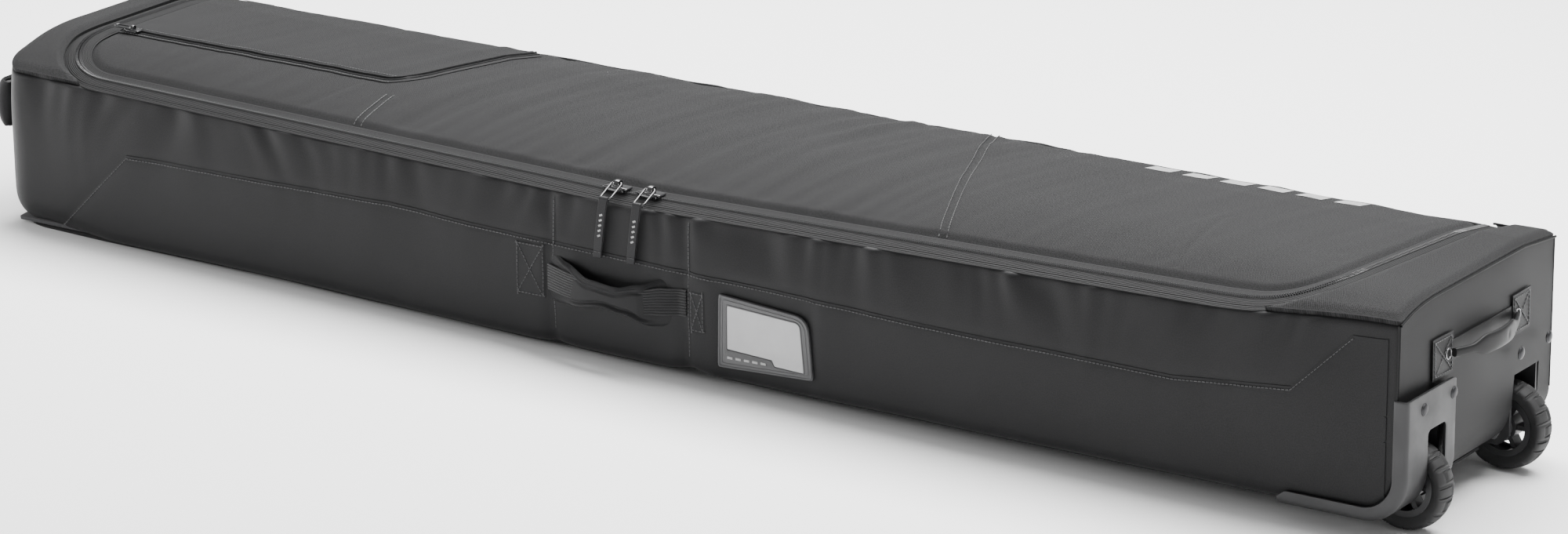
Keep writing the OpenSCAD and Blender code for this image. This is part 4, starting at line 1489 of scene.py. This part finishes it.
def slider_body(name, scale=1.0):
    """A slider at the origin: a waisted body with side walls, and a bridge across it."""
    body = block((0, 0, 0), (0.029, 0.0128, 0.0026))
    apply_modifier(body, "BEVEL", width=0.0011, segments=3)
    apply_modifier(body, "SUBSURF", levels=1, render_levels=1)
    for vertex in body.data.vertices:
        co = vertex.co
        co.z += 0.0013 + 0.0008 * (1 - (co.x / 0.015) ** 2)
        co.y *= 0.80 + 0.22 * bump(co.x - 0.008, 0.008) + 0.16 * bump(co.x + 0.010, 0.005)
    walls = []
    for s in (-1, 1):
        wall = block((0, s * 0.0054, -0.0004), (0.020, 0.0010, 0.0034))
        apply_modifier(wall, "BEVEL", width=0.0004, segments=2)
        walls.append(wall)
    half = ((0.0043, 0.001), (0.0043, 0.0062), (0.0036, 0.0076), (0.0018, 0.0083))
    bridge = wire("bridge", [(0, -y, z) for y, z in half] + [(0, y, z) for y, z in half[::-1]],
                  0.00075, closed=False)
    for vertex in bridge.data.vertices:
        vertex.co.x *= 4.2
    piece = joined(name, [body, bridge] + walls)
    piece.data.transform(Matrix.Scale(scale, 4))
    return piece


swings = {j["child"]: Vector(j["pos_m"]) for j in frame["joints"] if "pull" in j["child"]}
TAB_LEAN = 0.13
RING_DROP = math.radians(26)
for label in ("left", "right"):
    pivot = swings["pull_" + label]
    body = slider_body("cast_slider_" + label)
    if label == "left":
        body.data.transform(Matrix.Rotation(math.pi, 4, "Z"))
    body.data.transform(Matrix.Translation(pivot - Vector((0, 0, 0.006))))
    sew(body, gloss, "slider_" + label, "slider", "slider_" + label)
    loop = [(x, y - 0.0126, 0) for x, y in rounded_loop(0.0118, 0.0262, 0.004)]
    ring = wire("wire_ring_" + label, loop, 0.0010)
    ring.data.transform(Matrix.Rotation(RING_DROP, 4, "X"))
    ring.data.transform(Matrix.Translation(pivot))
    sew(ring, gloss, "pull_" + label, "slider", "pull_ring_" + label)
    tab_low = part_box("pull_tab_" + label)[0]
    hang = pivot + Vector((0, -0.026 * math.cos(RING_DROP), -0.026 * math.sin(RING_DROP)))

    def tab_place(u, v):
        drop = (hang.z + 0.0012 - tab_low.z) * v
        return Vector((hang.x - TAB_LEAN * drop + 0.0095 * (u - 0.5),
                       tab_low.y + 0.0004 - 0.0006 * math.sin(math.pi * v), hang.z + 0.0012 - drop))

    tab = grid_piece("cloth_tab_" + label, 10, 50, tab_place, 0.0095, 0.058)
    if tab.data.polygons[0].normal.y > 0:
        flipped(tab)
    apply_modifier(tab, "SOLIDIFY", thickness=0.0020, offset=-1)
    apply_modifier(tab, "BEVEL", width=0.0004, segments=2, limit_method="ANGLE", angle_limit=math.radians(50))
    fold = rod(0.0027, 0.0094, hang, (0, math.pi / 2, 0), 24)
    tab = joined("cloth_tab_" + label, [tab, fold])
    sew(tab, tab_cloth, "pull_" + label, "pull_cloth", "pull_tab_" + label)
    marks = []
    for i in range(5):
        drop = 0.016 + 0.0054 * i
        marks.append(block((hang.x - TAB_LEAN * drop, tab_low.y - 0.0001, hang.z - drop),
                           (0.0036, 0.0005, 0.0019), (0, math.radians(-24), 0)))
    sew(joined("tab_dashes_" + label, marks), ink, "pull_" + label, "print")
    drop = 0.0545
    low = [Vector((hang.x - TAB_LEAN * drop + 0.0076 * t, tab_low.y - 0.0002, hang.z - drop))
           for t in (-0.5, 0, 0.5)]
    stitches("tab_%s_stitches" % label, [low], "pull_" + label, 0.0016, 0.0004)

pivot = swings["pocket_pull"]
body = slider_body("pocket_cast_slider", 0.7)
body.data.transform(Matrix.Translation(pivot - Vector((0, 0, 0.0030))))
sew(body, gloss, "pocket_slider", "slider", "pocket_slider")
pull = wire("pocket_wire_pull", [(x - 0.0115, y, 0) for x, y in rounded_loop(0.0235, 0.0082, 0.003)], 0.0009)
pull.data.transform(Matrix.Translation(pivot))
sew(pull, gloss, "pocket_pull", "slider", "pocket_pull")
